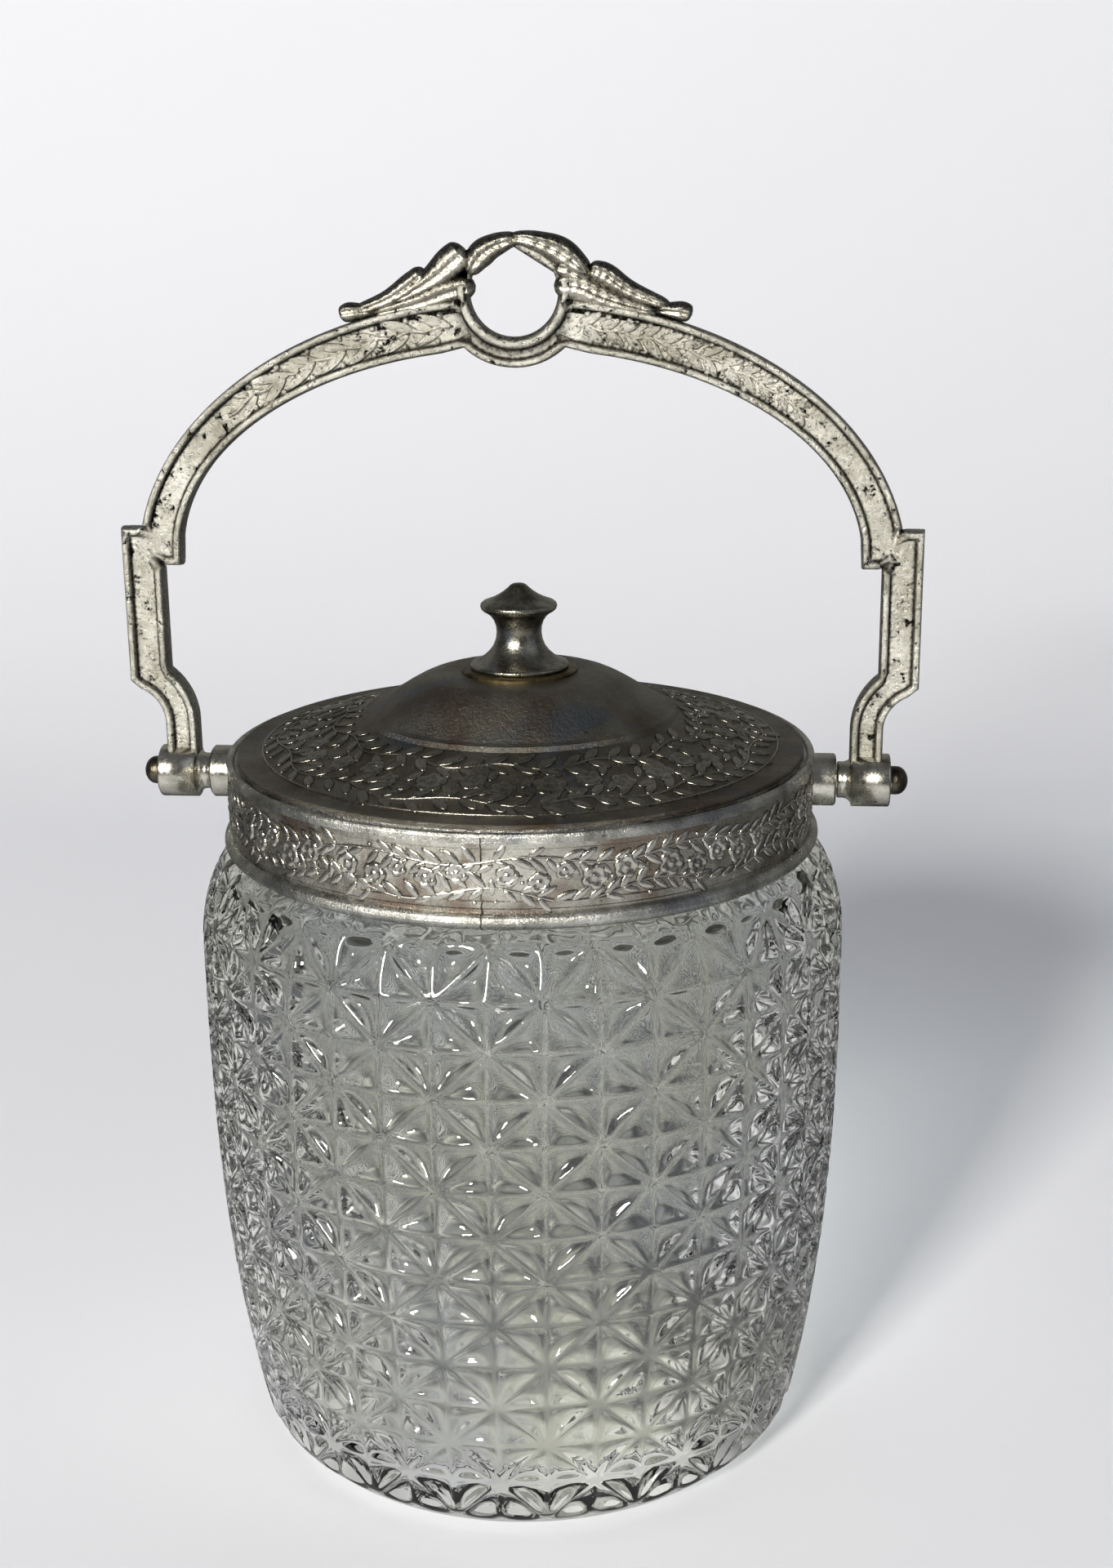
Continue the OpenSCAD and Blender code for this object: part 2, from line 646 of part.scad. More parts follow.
inner_washer_t = 0.8;
inner_washer_r = 5;
screw_head_r = 3.2;
screw_head_h = 1.8;
inner_washer_z = plateau_z - lid_sheet - inner_washer_t;

module knob_screw() {
    slot_w = 0.8;
    color("dimgray")
    difference() {
        rotate_extrude()
        polygon([[0, inner_washer_z - screw_head_h], [screw_head_r - 0.6, inner_washer_z - screw_head_h],
                 [screw_head_r, inner_washer_z - screw_head_h + 0.6], [screw_head_r, inner_washer_z],
                 [screw_r, inner_washer_z], [screw_r, knob_z + knob_screw_grip], [0, knob_z + knob_screw_grip]]);
        translate([-screw_head_r - 1, -slot_w / 2, inner_washer_z - screw_head_h - 1])
            cube([2 * screw_head_r + 2, slot_w, 1.8]);
    }
}

module screw_washer() {
    color("gray")
    translate([0, 0, inner_washer_z])
    rotate_extrude() translate([screw_r + screw_gap, 0])
        square([inner_washer_r - screw_r - screw_gap, inner_washer_t]);
}

glass_jar();
neck_bedding();
frieze_band();
foot_bead();
lip_ring();
lid_seat();
trunnion_left();
trunnion_right();
cap_nut_left();
cap_nut_right();
bail();
lid_cover();
lid_edge_hoop();
lid_skirt();
knob();
knob_washer();
knob_screw();
screw_washer();
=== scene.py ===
# %% [markdown]
# # A pressed-glass biscuit jar with a plated lid and a cast bail
#
# The jar was made in three trades. A glassworks pressed the barrel in an iron mould, a
# stamping shop made the collar and the lid from thin plated sheet, and a foundry cast the
# bail. This lesson follows them: each cell makes one piece or one finish, and says why it is
# made that way. The sizes are in millimetres, and the frame of the model gives every place.

import math

import bmesh
import bpy
import numpy as np
from mathutils import Matrix, Vector
from mathutils.geometry import delaunay_2d_cdt


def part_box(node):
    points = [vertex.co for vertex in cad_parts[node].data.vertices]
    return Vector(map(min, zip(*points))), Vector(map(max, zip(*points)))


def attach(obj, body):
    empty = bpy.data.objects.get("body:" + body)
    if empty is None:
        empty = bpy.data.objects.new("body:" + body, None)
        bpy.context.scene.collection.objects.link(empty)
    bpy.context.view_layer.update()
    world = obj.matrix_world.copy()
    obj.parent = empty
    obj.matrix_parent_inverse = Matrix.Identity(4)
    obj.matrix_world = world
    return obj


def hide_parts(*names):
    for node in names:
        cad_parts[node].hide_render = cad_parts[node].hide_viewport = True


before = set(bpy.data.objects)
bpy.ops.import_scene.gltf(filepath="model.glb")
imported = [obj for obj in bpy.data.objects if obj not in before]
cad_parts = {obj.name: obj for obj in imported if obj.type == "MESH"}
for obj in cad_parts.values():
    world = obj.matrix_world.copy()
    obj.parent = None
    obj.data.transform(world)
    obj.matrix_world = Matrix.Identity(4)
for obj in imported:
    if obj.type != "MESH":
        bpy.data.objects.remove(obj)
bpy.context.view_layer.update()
MM = 0.001

# %% [markdown]
# ## The camera
#
# The camera stands in front of the jar, a little above the knob, and looks down at it. The
# jar is turned a few degrees, so its right pivot is nearer than its left one. A lens of
# about 49 mm on a 36 mm frame shows the whole jar without bending its sides.

# %% Camera
def show(name, data):
    """A new object in the scene, from a mesh, a lamp or a camera."""
    made = bpy.data.objects.new(name, data)
    bpy.context.scene.collection.objects.link(made)
    return made


CAMERA_AT = Vector((43.9, -418.4, 263.2)) * MM
CAMERA_TURN = math.radians(5.0)
CAMERA_DIP = math.radians(16.37)
CAMERA_ROLL = math.radians(-0.56)

camera = show("camera", bpy.data.cameras.new("camera"))
camera.data.lens = 48.75
camera.data.sensor_width = 36
camera.data.clip_start = 0.01
camera.matrix_world = (
    Matrix.Translation(CAMERA_AT)
    @ Matrix.Rotation(CAMERA_TURN, 4, "Z")
    @ Matrix.Rotation(math.pi / 2 - CAMERA_DIP, 4, "X")
    @ Matrix.Rotation(CAMERA_ROLL, 4, "Z")
)
bpy.context.scene.camera = camera

# %% [markdown]
# ## Helpers for materials
#
# A colour is written as people read it from a screen, in sRGB hex, and one function turns it
# into the linear values that the renderer works with. A second function adds a node, sets it
# and links it, which keeps each finish short enough to read at a glance. A node that is given
# as an input stands for its first output in use. A third function starts a material.

# %% Colour and node helpers
def colour(hex_code):
    """An sRGB hex colour as linear RGBA."""
    channels = [int(hex_code[i : i + 2], 16) / 255 for i in (1, 3, 5)]
    linear = [c / 12.92 if c <= 0.04045 else ((c + 0.055) / 1.055) ** 2.4 for c in channels]
    return (*linear, 1.0)


def add(tree, kind, inputs=None, stops=(), **settings):
    """Adds a node, with its settings, a value or a link for each input named, and ramp stops."""
    node = tree.nodes.new(kind)
    for key, value in settings.items():
        setattr(node, key, value)
    for key, value in (inputs or {}).items():
        if isinstance(value, bpy.types.Node):
            value = next(socket for socket in value.outputs if socket.enabled)
        if isinstance(value, bpy.types.NodeSocket):
            tree.links.new(value, node.inputs[key])
        else:
            node.inputs[key].default_value = value
    # A stop is (position, grey or colour)
    for _ in stops[2:]:
        node.color_ramp.elements.new(1.0)
    for k, (position, value) in enumerate(stops):
        element = node.color_ramp.elements[k]
        element.position = position
        element.color = value if isinstance(value, tuple) else (value, value, value, 1)
    return node


def new_material(name):
    """A material, its empty node tree, and the place on the piece, for the finish's patterns."""
    material = bpy.data.materials.new(name)
    material.use_nodes = True
    tree = material.node_tree
    tree.nodes.clear()
    return material, tree, add(tree, "ShaderNodeTexCoord").outputs["Object"]


def per_mm(size):
    """The scale of a texture whose features are this many millimetres across."""
    return 1 / (size * MM)


# %% [markdown]
# ## Worn silver plate
#
# The collar, bail and lid are Britannia metal or brass under a thin silver plate. Plate wears
# warm and grey where it is touched and goes brown to blue-black where air lies still, in
# patches a few millimetres wide with soft edges. Pits from corrosion are small and black. So
# the finish mixes two tones with a broad noise, adds dark pits with a sharp one, and lets a
# fine grain move both the roughness and the bump. Where a piece stands in relief, its points
# carry an attribute of wear: 1 on the crowns that hands and cloths reach, and 0 in the
# hollows, where the tarnish stays. On the bail and its crest the same attribute also holds
# painted shade. It is low on the side faces of the casting and on the upper sides of the
# crest's leaves, which gives them the dark hollow tone. One function makes every such
# finish, because they differ only in how far gone they are.

# %% Plated finish
# Size of the black pits in millimetres, and of the coloured bloom against that of the patches
SPOT_MM = 2.6
BLOOM_TO_PATCH = 1.7
# How far the grain takes the roughness down and up
SMOOTHER, ROUGHER = 0.12, 0.14


def plate_finish(
    name, tones, pit, patch_mm, pit_share, rough, grain_mm, grain_depth_mm, tint=None, hollow=None
):
    """Worn silver plate: two tones in patches, pits, a fine grain, and a dark hollow tone for tarnish
    in the hollows and for painted shade.
    """
    material, tree, place = new_material(name)
    patches = add(
        tree, "ShaderNodeTexNoise",
        {"Vector": place, "Scale": per_mm(patch_mm), "Detail": 6.0, "Roughness": 0.65},
    )
    patches = add(tree, "ShaderNodeValToRGB", {"Fac": patches}, stops=[(0.36, 0.0), (0.64, 1.0)])
    tone = add(
        tree, "ShaderNodeMix",
        {"Factor": patches, "A": colour(tones[0]), "B": colour(tones[1])}, data_type="RGBA",
    )
    if tint:
        bloom = add(
            tree, "ShaderNodeTexNoise",
            {
                "Vector": place, "Scale": per_mm(patch_mm * BLOOM_TO_PATCH),
                "Detail": 4.0, "Distortion": 0.8,
            },
        )
        bloom = add(tree, "ShaderNodeValToRGB", {"Fac": bloom}, stops=[(0.54, 0.0), (0.66, 0.7)])
        tone = add(
            tree, "ShaderNodeMix", {"Factor": bloom, "A": tone, "B": colour(tint)}, data_type="RGBA"
        )
    grain = add(
        tree, "ShaderNodeTexNoise",
        {"Vector": place, "Scale": per_mm(grain_mm), "Detail": 5.0, "Roughness": 0.7},
    )
    roughness = add(
        tree, "ShaderNodeMapRange",
        {
            "Value": grain, "From Min": 0.3, "From Max": 0.7,
            "To Min": rough - SMOOTHER, "To Max": rough + ROUGHER,
        },
    )
    # The hollow tone goes where the attribute is low: tarnish in the hollows, and painted shade on the
    # bail's side faces and the crest's upper leaf sides
    if hollow:
        worn = add(tree, "ShaderNodeAttribute", attribute_name="worn").outputs["Fac"]
        rubbed_and_lit = add(tree, "ShaderNodeMath", {0: grain, 1: -0.5}, operation="ADD")
        rubbed_and_lit = add(tree, "ShaderNodeMath", {0: rubbed_and_lit, 1: 0.9, 2: worn}, operation="MULTIPLY_ADD")
        rubbed_and_lit = add(tree, "ShaderNodeValToRGB", {"Fac": rubbed_and_lit}, stops=[(0.08, 0.0), (0.62, 1.0)])
        tone = add(
            tree, "ShaderNodeMix", {"Factor": rubbed_and_lit, "A": colour(hollow), "B": tone}, data_type="RGBA"
        )
    spots = add(
        tree, "ShaderNodeTexNoise",
        {"Vector": place, "Scale": per_mm(SPOT_MM), "Detail": 6.0, "Roughness": 0.75},
    )
    pits = add(
        tree, "ShaderNodeValToRGB",
        {"Fac": spots}, stops=[(0.75 - 0.5 * pit_share, 0.0), (0.79 - 0.5 * pit_share, 1.0)],
    )
    base = add(
        tree, "ShaderNodeMix", {"Factor": pits, "A": tone, "B": colour(pit)}, data_type="RGBA"
    )
    pitted = add(tree, "ShaderNodeMath", {0: grain, 1: pits}, operation="SUBTRACT")
    bump = add(
        tree, "ShaderNodeBump", {"Height": pitted, "Strength": 1.0, "Distance": grain_depth_mm * MM}
    )
    shader = add(
        tree, "ShaderNodeBsdfPrincipled",
        {"Base Color": base, "Metallic": 1.0, "Roughness": roughness, "Normal": bump},
    )
    add(tree, "ShaderNodeOutputMaterial", {"Surface": shader})
    return material


# name, tones, pit colour, patch size, pit share, roughness, grain size and depth in millimetres
collar_ground = plate_finish(
    "collar_ground_plate", ("#cdcbc1", "#858277"), "#262420", 9, 0.2, 0.29, 0.6, 0.10,
    tint="#786457",
)
collar_relief = plate_finish(
    "collar_relief_plate", ("#d6d4ca", "#95928a"), "#262420", 14, 0.13, 0.21, 0.5, 0.05,
    hollow="#302e29",
)
collar_wire = plate_finish(
    "collar_wire_plate", ("#cfcfc9", "#80807a"), "#201f1d", 8, 0.22, 0.28, 0.5, 0.16,
    tint="#6c7078",
)
# On the bail and its crest the hollow tone also serves as painted shade
bail_plate = plate_finish(
    "bail_cast_silver_plate", ("#d6d5cd", "#a19f92"), "#151412", 8, 0.315, 0.32, 0.8, 0.42,
    hollow="#35332d",
)
crest_plate = plate_finish(
    "crest_cast_silver_plate", ("#c8c5b8", "#88857a"), "#151412", 6, 0.22, 0.27, 0.7, 0.16,
    hollow="#22211d",
)
lid_plate = plate_finish(
    "lid_tarnished_plate", ("#7b796f", "#564c41"), "#171613", 12, 0.2, 0.37, 0.8, 0.4,
    tint="#525c68",
)
lid_relief = plate_finish(
    "lid_relief_plate", ("#96948a", "#67655b"), "#171613", 16, 0.13, 0.24, 0.45, 0.05,
    hollow="#1a1916",
)
knob_plate = plate_finish(
    "knob_tarnished_plate", ("#a5a296", "#57544b"), "#151412", 5, 0.19, 0.24, 0.5, 0.06,
    tint="#5a6672",
)
pivot_plate = plate_finish(
    "pivot_silver_plate", ("#dedcd1", "#a19e93"), "#1d1a17", 8, 0.15, 0.21, 0.5, 0.03
)
nut_plate = plate_finish(
    "nut_brown_tarnish", ("#6a6355", "#332f28"), "#14110e", 3, 0.2, 0.32, 0.4, 0.06
)
washer_brass = plate_finish(
    "washer_dull_brass", ("#7d7050", "#433b2a"), "#1b150c", 4, 0.18, 0.4, 0.4, 0.03
)

# %% [markdown]
# ## Plaster
#
# The collar is bedded on the neck in plaster of Paris. It is mixed with water and poured in,
# so it is matt and nearly white, with small air holes where it sets.

# %% Plaster finish
def plaster_finish():
    """Matt plaster with soft lumps."""
    material, tree, place = new_material("bedding_plaster")
    lumps = add(
        tree, "ShaderNodeTexNoise", {"Vector": place, "Scale": per_mm(3), "Detail": 6.0}
    )
    tone = add(
        tree, "ShaderNodeValToRGB",
        {"Fac": lumps}, stops=[(0.35, colour("#b9b3a4")), (0.6, colour("#dcd7ca"))],
    )
    bump = add(tree, "ShaderNodeBump", {"Height": lumps, "Distance": 0.2 * MM})
    shader = add(
        tree, "ShaderNodeBsdfPrincipled", {"Base Color": tone, "Roughness": 0.9, "Normal": bump}
    )
    add(tree, "ShaderNodeOutputMaterial", {"Surface": shader})
    return material


bedding_plaster = plaster_finish()

# %% Finishes on the pieces that keep the model's own shape
NODE_FINISH = {
    "frieze_band": collar_ground, "foot_bead": collar_wire, "lip_ring": collar_wire,
    "lid_seat": collar_wire, "trunnion_left": pivot_plate, "trunnion_right": pivot_plate,
    "cap_nut_left": nut_plate, "cap_nut_right": nut_plate,
    "lid_cover": lid_plate, "lid_edge_hoop": collar_wire, "lid_skirt": lid_plate,
    "knob_washer": washer_brass, "knob_screw": nut_plate,
    "screw_washer": nut_plate, "neck_bedding": bedding_plaster,
}
for name, finish in NODE_FINISH.items():
    model_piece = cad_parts[name]
    model_piece.data.materials.clear()
    model_piece.data.materials.append(finish)


# %% [markdown]
# ## The pressed glass
#
# Soda-lime glass pressed in a mould: clear, with a faint grey cast that shows in thick
# places, and surfaces softened by the flame that polished the mould marks away. It is one
# transmissive shader with the refraction of common glass. For shadows it is partly
# transparent, because a path tracer would otherwise give a clear jar a black shadow.

# %% Glass finish
def pressed_glass_finish():
    """Clear pressed glass with a faint ripple."""
    material, tree, place = new_material("pressed_soda_glass")
    ripple = add(
        tree, "ShaderNodeTexNoise", {"Vector": place, "Scale": per_mm(7), "Detail": 0.6}
    )
    bump = add(
        tree, "ShaderNodeBump", {"Height": ripple, "Strength": 1.0, "Distance": 0.5 * MM}
    )
    cast = add(
        tree, "ShaderNodeTexNoise", {"Vector": place, "Scale": per_mm(45), "Detail": 1.0}
    )
    tint = add(
        tree, "ShaderNodeValToRGB",
        {"Fac": cast}, stops=[(0.4, colour("#dee0e1")), (0.6, colour("#e0e1da"))],
    )
    glass = add(
        tree, "ShaderNodeBsdfPrincipled",
        {
            "Base Color": tint, "Roughness": 0.025, "IOR": 1.5, "Transmission Weight": 1.0,
            "Normal": bump,
        },
    )
    clear = add(tree, "ShaderNodeBsdfTransparent", {"Color": colour("#d4d6d6")})
    shadow_ray = add(tree, "ShaderNodeLightPath").outputs["Is Shadow Ray"]
    mixed = add(tree, "ShaderNodeMixShader", {0: shadow_ray, 1: glass, 2: clear})
    add(tree, "ShaderNodeOutputMaterial", {"Surface": mixed})
    return material


pressed_glass = pressed_glass_finish()

# %% [markdown]
# ## The barrel before pressing
#
# The glass is a turned form, so it is a stack of rings. Each ring has the same number of
# points, so that the rings join into an even net. Where the lattice comes, the net is finer
# than the cells, and its lines run along the ridges, which keeps these crisp. Two attributes
# are stored on the points there: how many half columns round the jar the point is, and how
# many half rows up.

# %% The barrel's outline, in millimetres
glass_top_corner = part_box("glass_jar")[1]
GLASS_R = round(glass_top_corner[1] / MM, 2)
WIDEST_Z = 110.0
FOOT_R = 51.0
HEEL_R = 58.5
HEEL_H = 7.0
NECK_R = 55.0
SHOULDER_H = 20.5
WALL = 5.0
NECK_WALL = 4.0
FLOOR_T = 8.0
FLOOR_FILLET = 12.0
NECK_TOP_Z = round(glass_top_corner[2] / MM, 2)
SWELL = 2.8
HEEL_POWER = 1.4
LATTICE_Z = 4.8
LATTICE_TOP_Z = 126.9
HALF_ROWS = 13
COLUMNS = 40
# Steps of the net in each cell, and round the jar
FINE = 12
ROUND = COLUMNS * FINE
# Heights of the plain rings over the lattice, and the rounding of the rim
SHOULDER_RINGS = (127.6, 128.4, 129.6)
COLLAR_RING_Z = 138.0
RIM_ROUND = 0.6
# The ring that the jar stands on, and the hollow inside it
STAND_W, HOLLOW_W, HOLLOW_H = 7, 12, 1.6


def barrel_radius(z):
    """Radius of the glass over its ridges at a height, both in millimetres."""
    if z <= HEEL_H:
        return FOOT_R + (HEEL_R - FOOT_R) * (1 - (1 - z / HEEL_H) ** HEEL_POWER) ** (1 / HEEL_POWER)
    if z <= WIDEST_Z:
        return HEEL_R + (GLASS_R - HEEL_R) * (1 - (1 - (z - HEEL_H) / (WIDEST_Z - HEEL_H)) ** SWELL)
    if z >= WIDEST_Z + SHOULDER_H:
        return NECK_R
    return NECK_R + (GLASS_R - NECK_R) * math.sqrt(1 - ((z - WIDEST_Z) / SHOULDER_H) ** 2)


# %% The rings of the barrel
def barrel_rings():
    """(radius, height, half rows up or None) of each ring, from the foot, up, and down inside."""
    rings = [(barrel_radius(z), z, None) for z in (0.0, 0.35 * LATTICE_Z)]
    for row in range(HALF_ROWS * FINE + 1):
        z = LATTICE_Z + row * (LATTICE_TOP_Z - LATTICE_Z) / (HALF_ROWS * FINE)
        rings.append((barrel_radius(z), z, row / FINE))
    for z in (*SHOULDER_RINGS, WIDEST_Z + SHOULDER_H, COLLAR_RING_Z, NECK_TOP_Z - RIM_ROUND):
        rings.append((barrel_radius(z), z, None))
    mouth = NECK_R - NECK_WALL
    rings.append((NECK_R - RIM_ROUND, NECK_TOP_Z, None))
    rings.append((mouth + RIM_ROUND, NECK_TOP_Z, None))
    rings.append((mouth, NECK_TOP_Z - RIM_ROUND, None))
    inner = GLASS_R - WALL - mouth
    for degrees in range(90, 0, -15):
        a = math.radians(degrees)
        z = WIDEST_Z + (SHOULDER_H - WALL / 2) * math.sin(a)
        rings.append((mouth + inner * math.cos(a), z, None))
    curve_z = FLOOR_T + FLOOR_FILLET
    for step in range(15):
        z = WIDEST_Z + (curve_z - WIDEST_Z) * step / 14
        rings.append((barrel_radius(z) - WALL, z, None))
    floor_r = barrel_radius(curve_z) - WALL
    for degrees in range(15, 91, 15):
        a = math.radians(degrees)
        z = curve_z - FLOOR_FILLET * math.sin(a)
        rings.append((floor_r - FLOOR_FILLET * (1 - math.cos(a)), z, None))
    rings.append((floor_r * 0.4, FLOOR_T, None))
    return rings


def new_mesh(name, points, faces, worn):
    """A smooth mesh from points in millimetres, and how worn each point is; on the bail and its crest
    this also holds painted shade.
    """
    mesh = bpy.data.meshes.new(name)
    mesh.from_pydata([(x * MM, y * MM, z * MM) for x, y, z in points], [], faces)
    if worn:
        mesh.attributes.new("worn", "FLOAT", "POINT").data.foreach_set("value", worn)
    mesh.shade_smooth()
    return mesh


def make_piece(name, points, faces, material, worn=None):
    """A mesh with its finish, in the scene."""
    mesh = new_mesh(name, points, faces, worn)
    mesh.materials.append(material)
    return show(name, mesh)


def build_plain_barrel():
    """The turned barrel, with the attributes that the mould needs."""
    rings = barrel_rings()
    rings += [(FOOT_R - STAND_W, 0.0, None), (FOOT_R - HOLLOW_W, HOLLOW_H, None)]
    foot_loops = (len(rings) - 2, len(rings) - 1)
    points, columns, rows, pressed = [], [], [], []
    for radius, z, row in rings:
        for c in range(ROUND):
            a = 2 * math.pi * c / ROUND
            points.append((radius * math.sin(a), -radius * math.cos(a), z))
            columns.append(c / FINE)
            rows.append(row or 0.0)
            pressed.append(0.0 if row is None else 1.0)
    faces = []
    for k in range(foot_loops[0] - 1):
        for c in range(ROUND):
            a, b = k * ROUND + c, k * ROUND + (c + 1) % ROUND
            d, e = a + ROUND, b + ROUND
            row = rings[k][2]
            if row is None or rings[k + 1][2] is None:
                faces.append((a, b, e, d))
            elif (c // FINE + int(row)) % 2 == 1:
                faces += [(a, b, e), (a, e, d)]
            else:
                faces += [(a, b, d), (b, e, d)]
    faces.append(tuple((foot_loops[0] - 1) * ROUND + c for c in range(ROUND)))
    for low, high in ((0, foot_loops[0]), foot_loops):
        for c in range(ROUND):
            a, b = low * ROUND + c, low * ROUND + (c + 1) % ROUND
            d, e = high * ROUND + c, high * ROUND + (c + 1) % ROUND
            faces.append((b, a, d, e))
    faces.append(tuple(foot_loops[1] * ROUND + c for c in reversed(range(ROUND))))
    made = make_piece("pressed_barrel", points, faces, pressed_glass)
    for key, values in (("column", columns), ("row", rows), ("pressed", pressed)):
        made.data.attributes.new(key, "FLOAT", "POINT").data.foreach_set("value", values)
    return made


barrel = build_plain_barrel()
print("plain barrel faces:", len(barrel.data.polygons))

# %% [markdown]
# ## The mould's lattice
#
# Rows and columns of ridges cross at stars, and every second square is cut by a diagonal the
# other way, so eight ridges meet in each star. Each cell between them is a triangle, hollowed
# like a thumbprint. Such a rule suits Geometry Nodes: within its square a point has three
# weights, one for each corner of its triangle. Their product is zero on the ridges and
# largest in the middle, so it gives the hollow, and the point moves in along its normal.

# %% Helpers for node trees
def set_input(modifier, name, value):
    """Sets a modifier's input by the identifier of the socket that has this name."""
    for item in modifier.node_group.interface.items_tree:
        if item.item_type == "SOCKET" and item.in_out == "INPUT" and item.name == name:
            modifier[item.identifier] = value


def new_tree(name, inputs):
    """A Geometry Nodes tree with named inputs of (kind, first value)."""
    tree = bpy.data.node_groups.new(name, "GeometryNodeTree")
    tree.interface.new_socket("Geometry", in_out="INPUT", socket_type="NodeSocketGeometry")
    for key, (kind, value) in inputs.items():
        socket = tree.interface.new_socket(key, in_out="INPUT", socket_type=kind)
        if value is not None:
            socket.default_value = value
    tree.interface.new_socket("Geometry", in_out="OUTPUT", socket_type="NodeSocketGeometry")
    return tree


# %% The lattice tree: which cell a point is in
press = new_tree("press_lattice", {
    "Depth": ("NodeSocketFloat", 1.5 * MM),
    "Unevenness": ("NodeSocketFloat", 0.2),
    "Tilt": ("NodeSocketFloat", 0.3),
    "Seed": ("NodeSocketInt", 7),
    "Glass": ("NodeSocketMaterial", None),
})
given = add(press, "NodeGroupInput").outputs
column = add(press, "GeometryNodeInputNamedAttribute", {"Name": "column"}, data_type="FLOAT")
row = add(press, "GeometryNodeInputNamedAttribute", {"Name": "row"}, data_type="FLOAT")
pressed = add(press, "GeometryNodeInputNamedAttribute", {"Name": "pressed"}, data_type="FLOAT")
whole_column = add(press, "ShaderNodeMath", {0: column}, operation="FLOOR")
whole_row = add(press, "ShaderNodeMath", {0: row}, operation="FLOOR")
across = add(press, "ShaderNodeMath", {0: column}, operation="FRACT")
up = add(press, "ShaderNodeMath", {0: row}, operation="FRACT")
both = add(press, "ShaderNodeMath", {0: whole_column, 1: whole_row}, operation="ADD")
odd = add(press, "ShaderNodeMath", {0: both, 1: 2.0}, operation="MODULO")
mirrored_across = add(press, "ShaderNodeMath", {0: 1.0, 1: across}, operation="SUBTRACT")
across = add(press, "ShaderNodeMix", {"Factor": odd, "A": mirrored_across, "B": across})

# %% The lattice tree: the three weights, and the hollow that they give
larger = add(press, "ShaderNodeMath", {0: across, 1: up}, operation="MAXIMUM")
smaller = add(press, "ShaderNodeMath", {0: across, 1: up}, operation="MINIMUM")
corner_a = add(press, "ShaderNodeMath", {0: 1.0, 1: larger}, operation="SUBTRACT")
corner_b = add(press, "ShaderNodeMath", {0: larger, 1: smaller}, operation="SUBTRACT")
product = add(press, "ShaderNodeMath", {0: corner_a, 1: corner_b}, operation="MULTIPLY")
product = add(press, "ShaderNodeMath", {0: product, 1: smaller}, operation="MULTIPLY")
middle = add(press, "ShaderNodeMath", {0: product, 1: 27.0}, operation="MULTIPLY")
rounded = add(press, "ShaderNodeMath", {0: middle, 1: 1.35}, operation="POWER")
rest_of_it = add(press, "ShaderNodeMath", {0: 1.0, 1: rounded}, operation="SUBTRACT")
steep = add(press, "ShaderNodeMath", {0: rest_of_it, 1: 1.5}, operation="POWER")
hollow = add(press, "ShaderNodeMath", {0: 1.0, 1: steep}, operation="SUBTRACT")

# %% The lattice tree: each cell a little shallower and tilted by chance, as in a hand-cut mould
which = add(press, "ShaderNodeMath", {0: across, 1: up}, operation="GREATER_THAN")
cell = add(press, "ShaderNodeCombineXYZ", {"X": whole_column, "Y": whole_row, "Z": which})
chance = add(
    press, "ShaderNodeTexWhiteNoise", {"Vector": cell, "W": given["Seed"]}, noise_dimensions="4D"
).outputs
ways = add(press, "ShaderNodeSeparateXYZ", {"Vector": chance["Color"]}).outputs
less = add(
    press, "ShaderNodeMath", {0: chance["Value"], 1: given["Unevenness"]}, operation="MULTIPLY"
)
kept = add(press, "ShaderNodeMath", {0: 1.0, 1: less}, operation="SUBTRACT")
way_x = add(press, "ShaderNodeMath", {0: ways["X"], 1: 0.5}, operation="SUBTRACT")
way_y = add(press, "ShaderNodeMath", {0: ways["Y"], 1: 0.5}, operation="SUBTRACT")
from_middle_x = add(press, "ShaderNodeMath", {0: corner_a, 1: smaller}, operation="SUBTRACT")
from_middle_y = add(press, "ShaderNodeMath", {0: corner_b, 1: 0.333}, operation="SUBTRACT")
lean_x = add(press, "ShaderNodeMath", {0: way_x, 1: from_middle_x}, operation="MULTIPLY")
lean_y = add(
    press, "ShaderNodeMath", {0: way_y, 1: from_middle_y, 2: lean_x}, operation="MULTIPLY_ADD"
)
kept = add(
    press, "ShaderNodeMath", {0: lean_y, 1: given["Tilt"], 2: kept}, operation="MULTIPLY_ADD"
)

# %% The lattice tree: moving the points in
deep = add(press, "ShaderNodeMath", {0: hollow, 1: kept}, operation="MULTIPLY")
deep = add(press, "ShaderNodeMath", {0: deep, 1: given["Depth"]}, operation="MULTIPLY")
deep = add(press, "ShaderNodeMath", {0: deep, 1: pressed}, operation="MULTIPLY")
inward = add(press, "ShaderNodeMath", {0: deep, 1: -1.0}, operation="MULTIPLY")
normal = add(press, "GeometryNodeInputNormal")
move = add(press, "ShaderNodeVectorMath", {0: normal, "Scale": inward}, operation="SCALE")
moved = add(press, "GeometryNodeSetPosition", {"Geometry": given["Geometry"], "Offset": move})
whole = add(press, "GeometryNodeRealizeInstances", {"Geometry": moved})
dressed = add(press, "GeometryNodeSetMaterial", {"Geometry": whole, "Material": given["Glass"]})
add(press, "NodeGroupOutput", {"Geometry": dressed})
print("lattice tree nodes:", len(press.nodes))


# %% Baking a tree's result
def bake(piece, tree, inputs):
    """Runs a tree on a piece and keeps the result as a plain mesh."""
    modifier = piece.modifiers.new(tree.name, "NODES")
    modifier.node_group = tree
    for key, value in inputs.items():
        set_input(modifier, key, value)
    graph = bpy.context.evaluated_depsgraph_get()
    made = bpy.data.meshes.new_from_object(piece.evaluated_get(graph), depsgraph=graph)
    piece.modifiers.clear()
    piece.data = made
    made.name = piece.name
    return piece


# Values that give the barrel its deep, slightly uneven cells
LATTICE = {"Depth": 2.1 * MM, "Unevenness": 0.3, "Tilt": 1.1, "Seed": 7, "Glass": pressed_glass}
bake(barrel, press, LATTICE)
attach(barrel, "jar")
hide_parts("glass_jar")
print("barrel faces:", len(barrel.data.polygons))

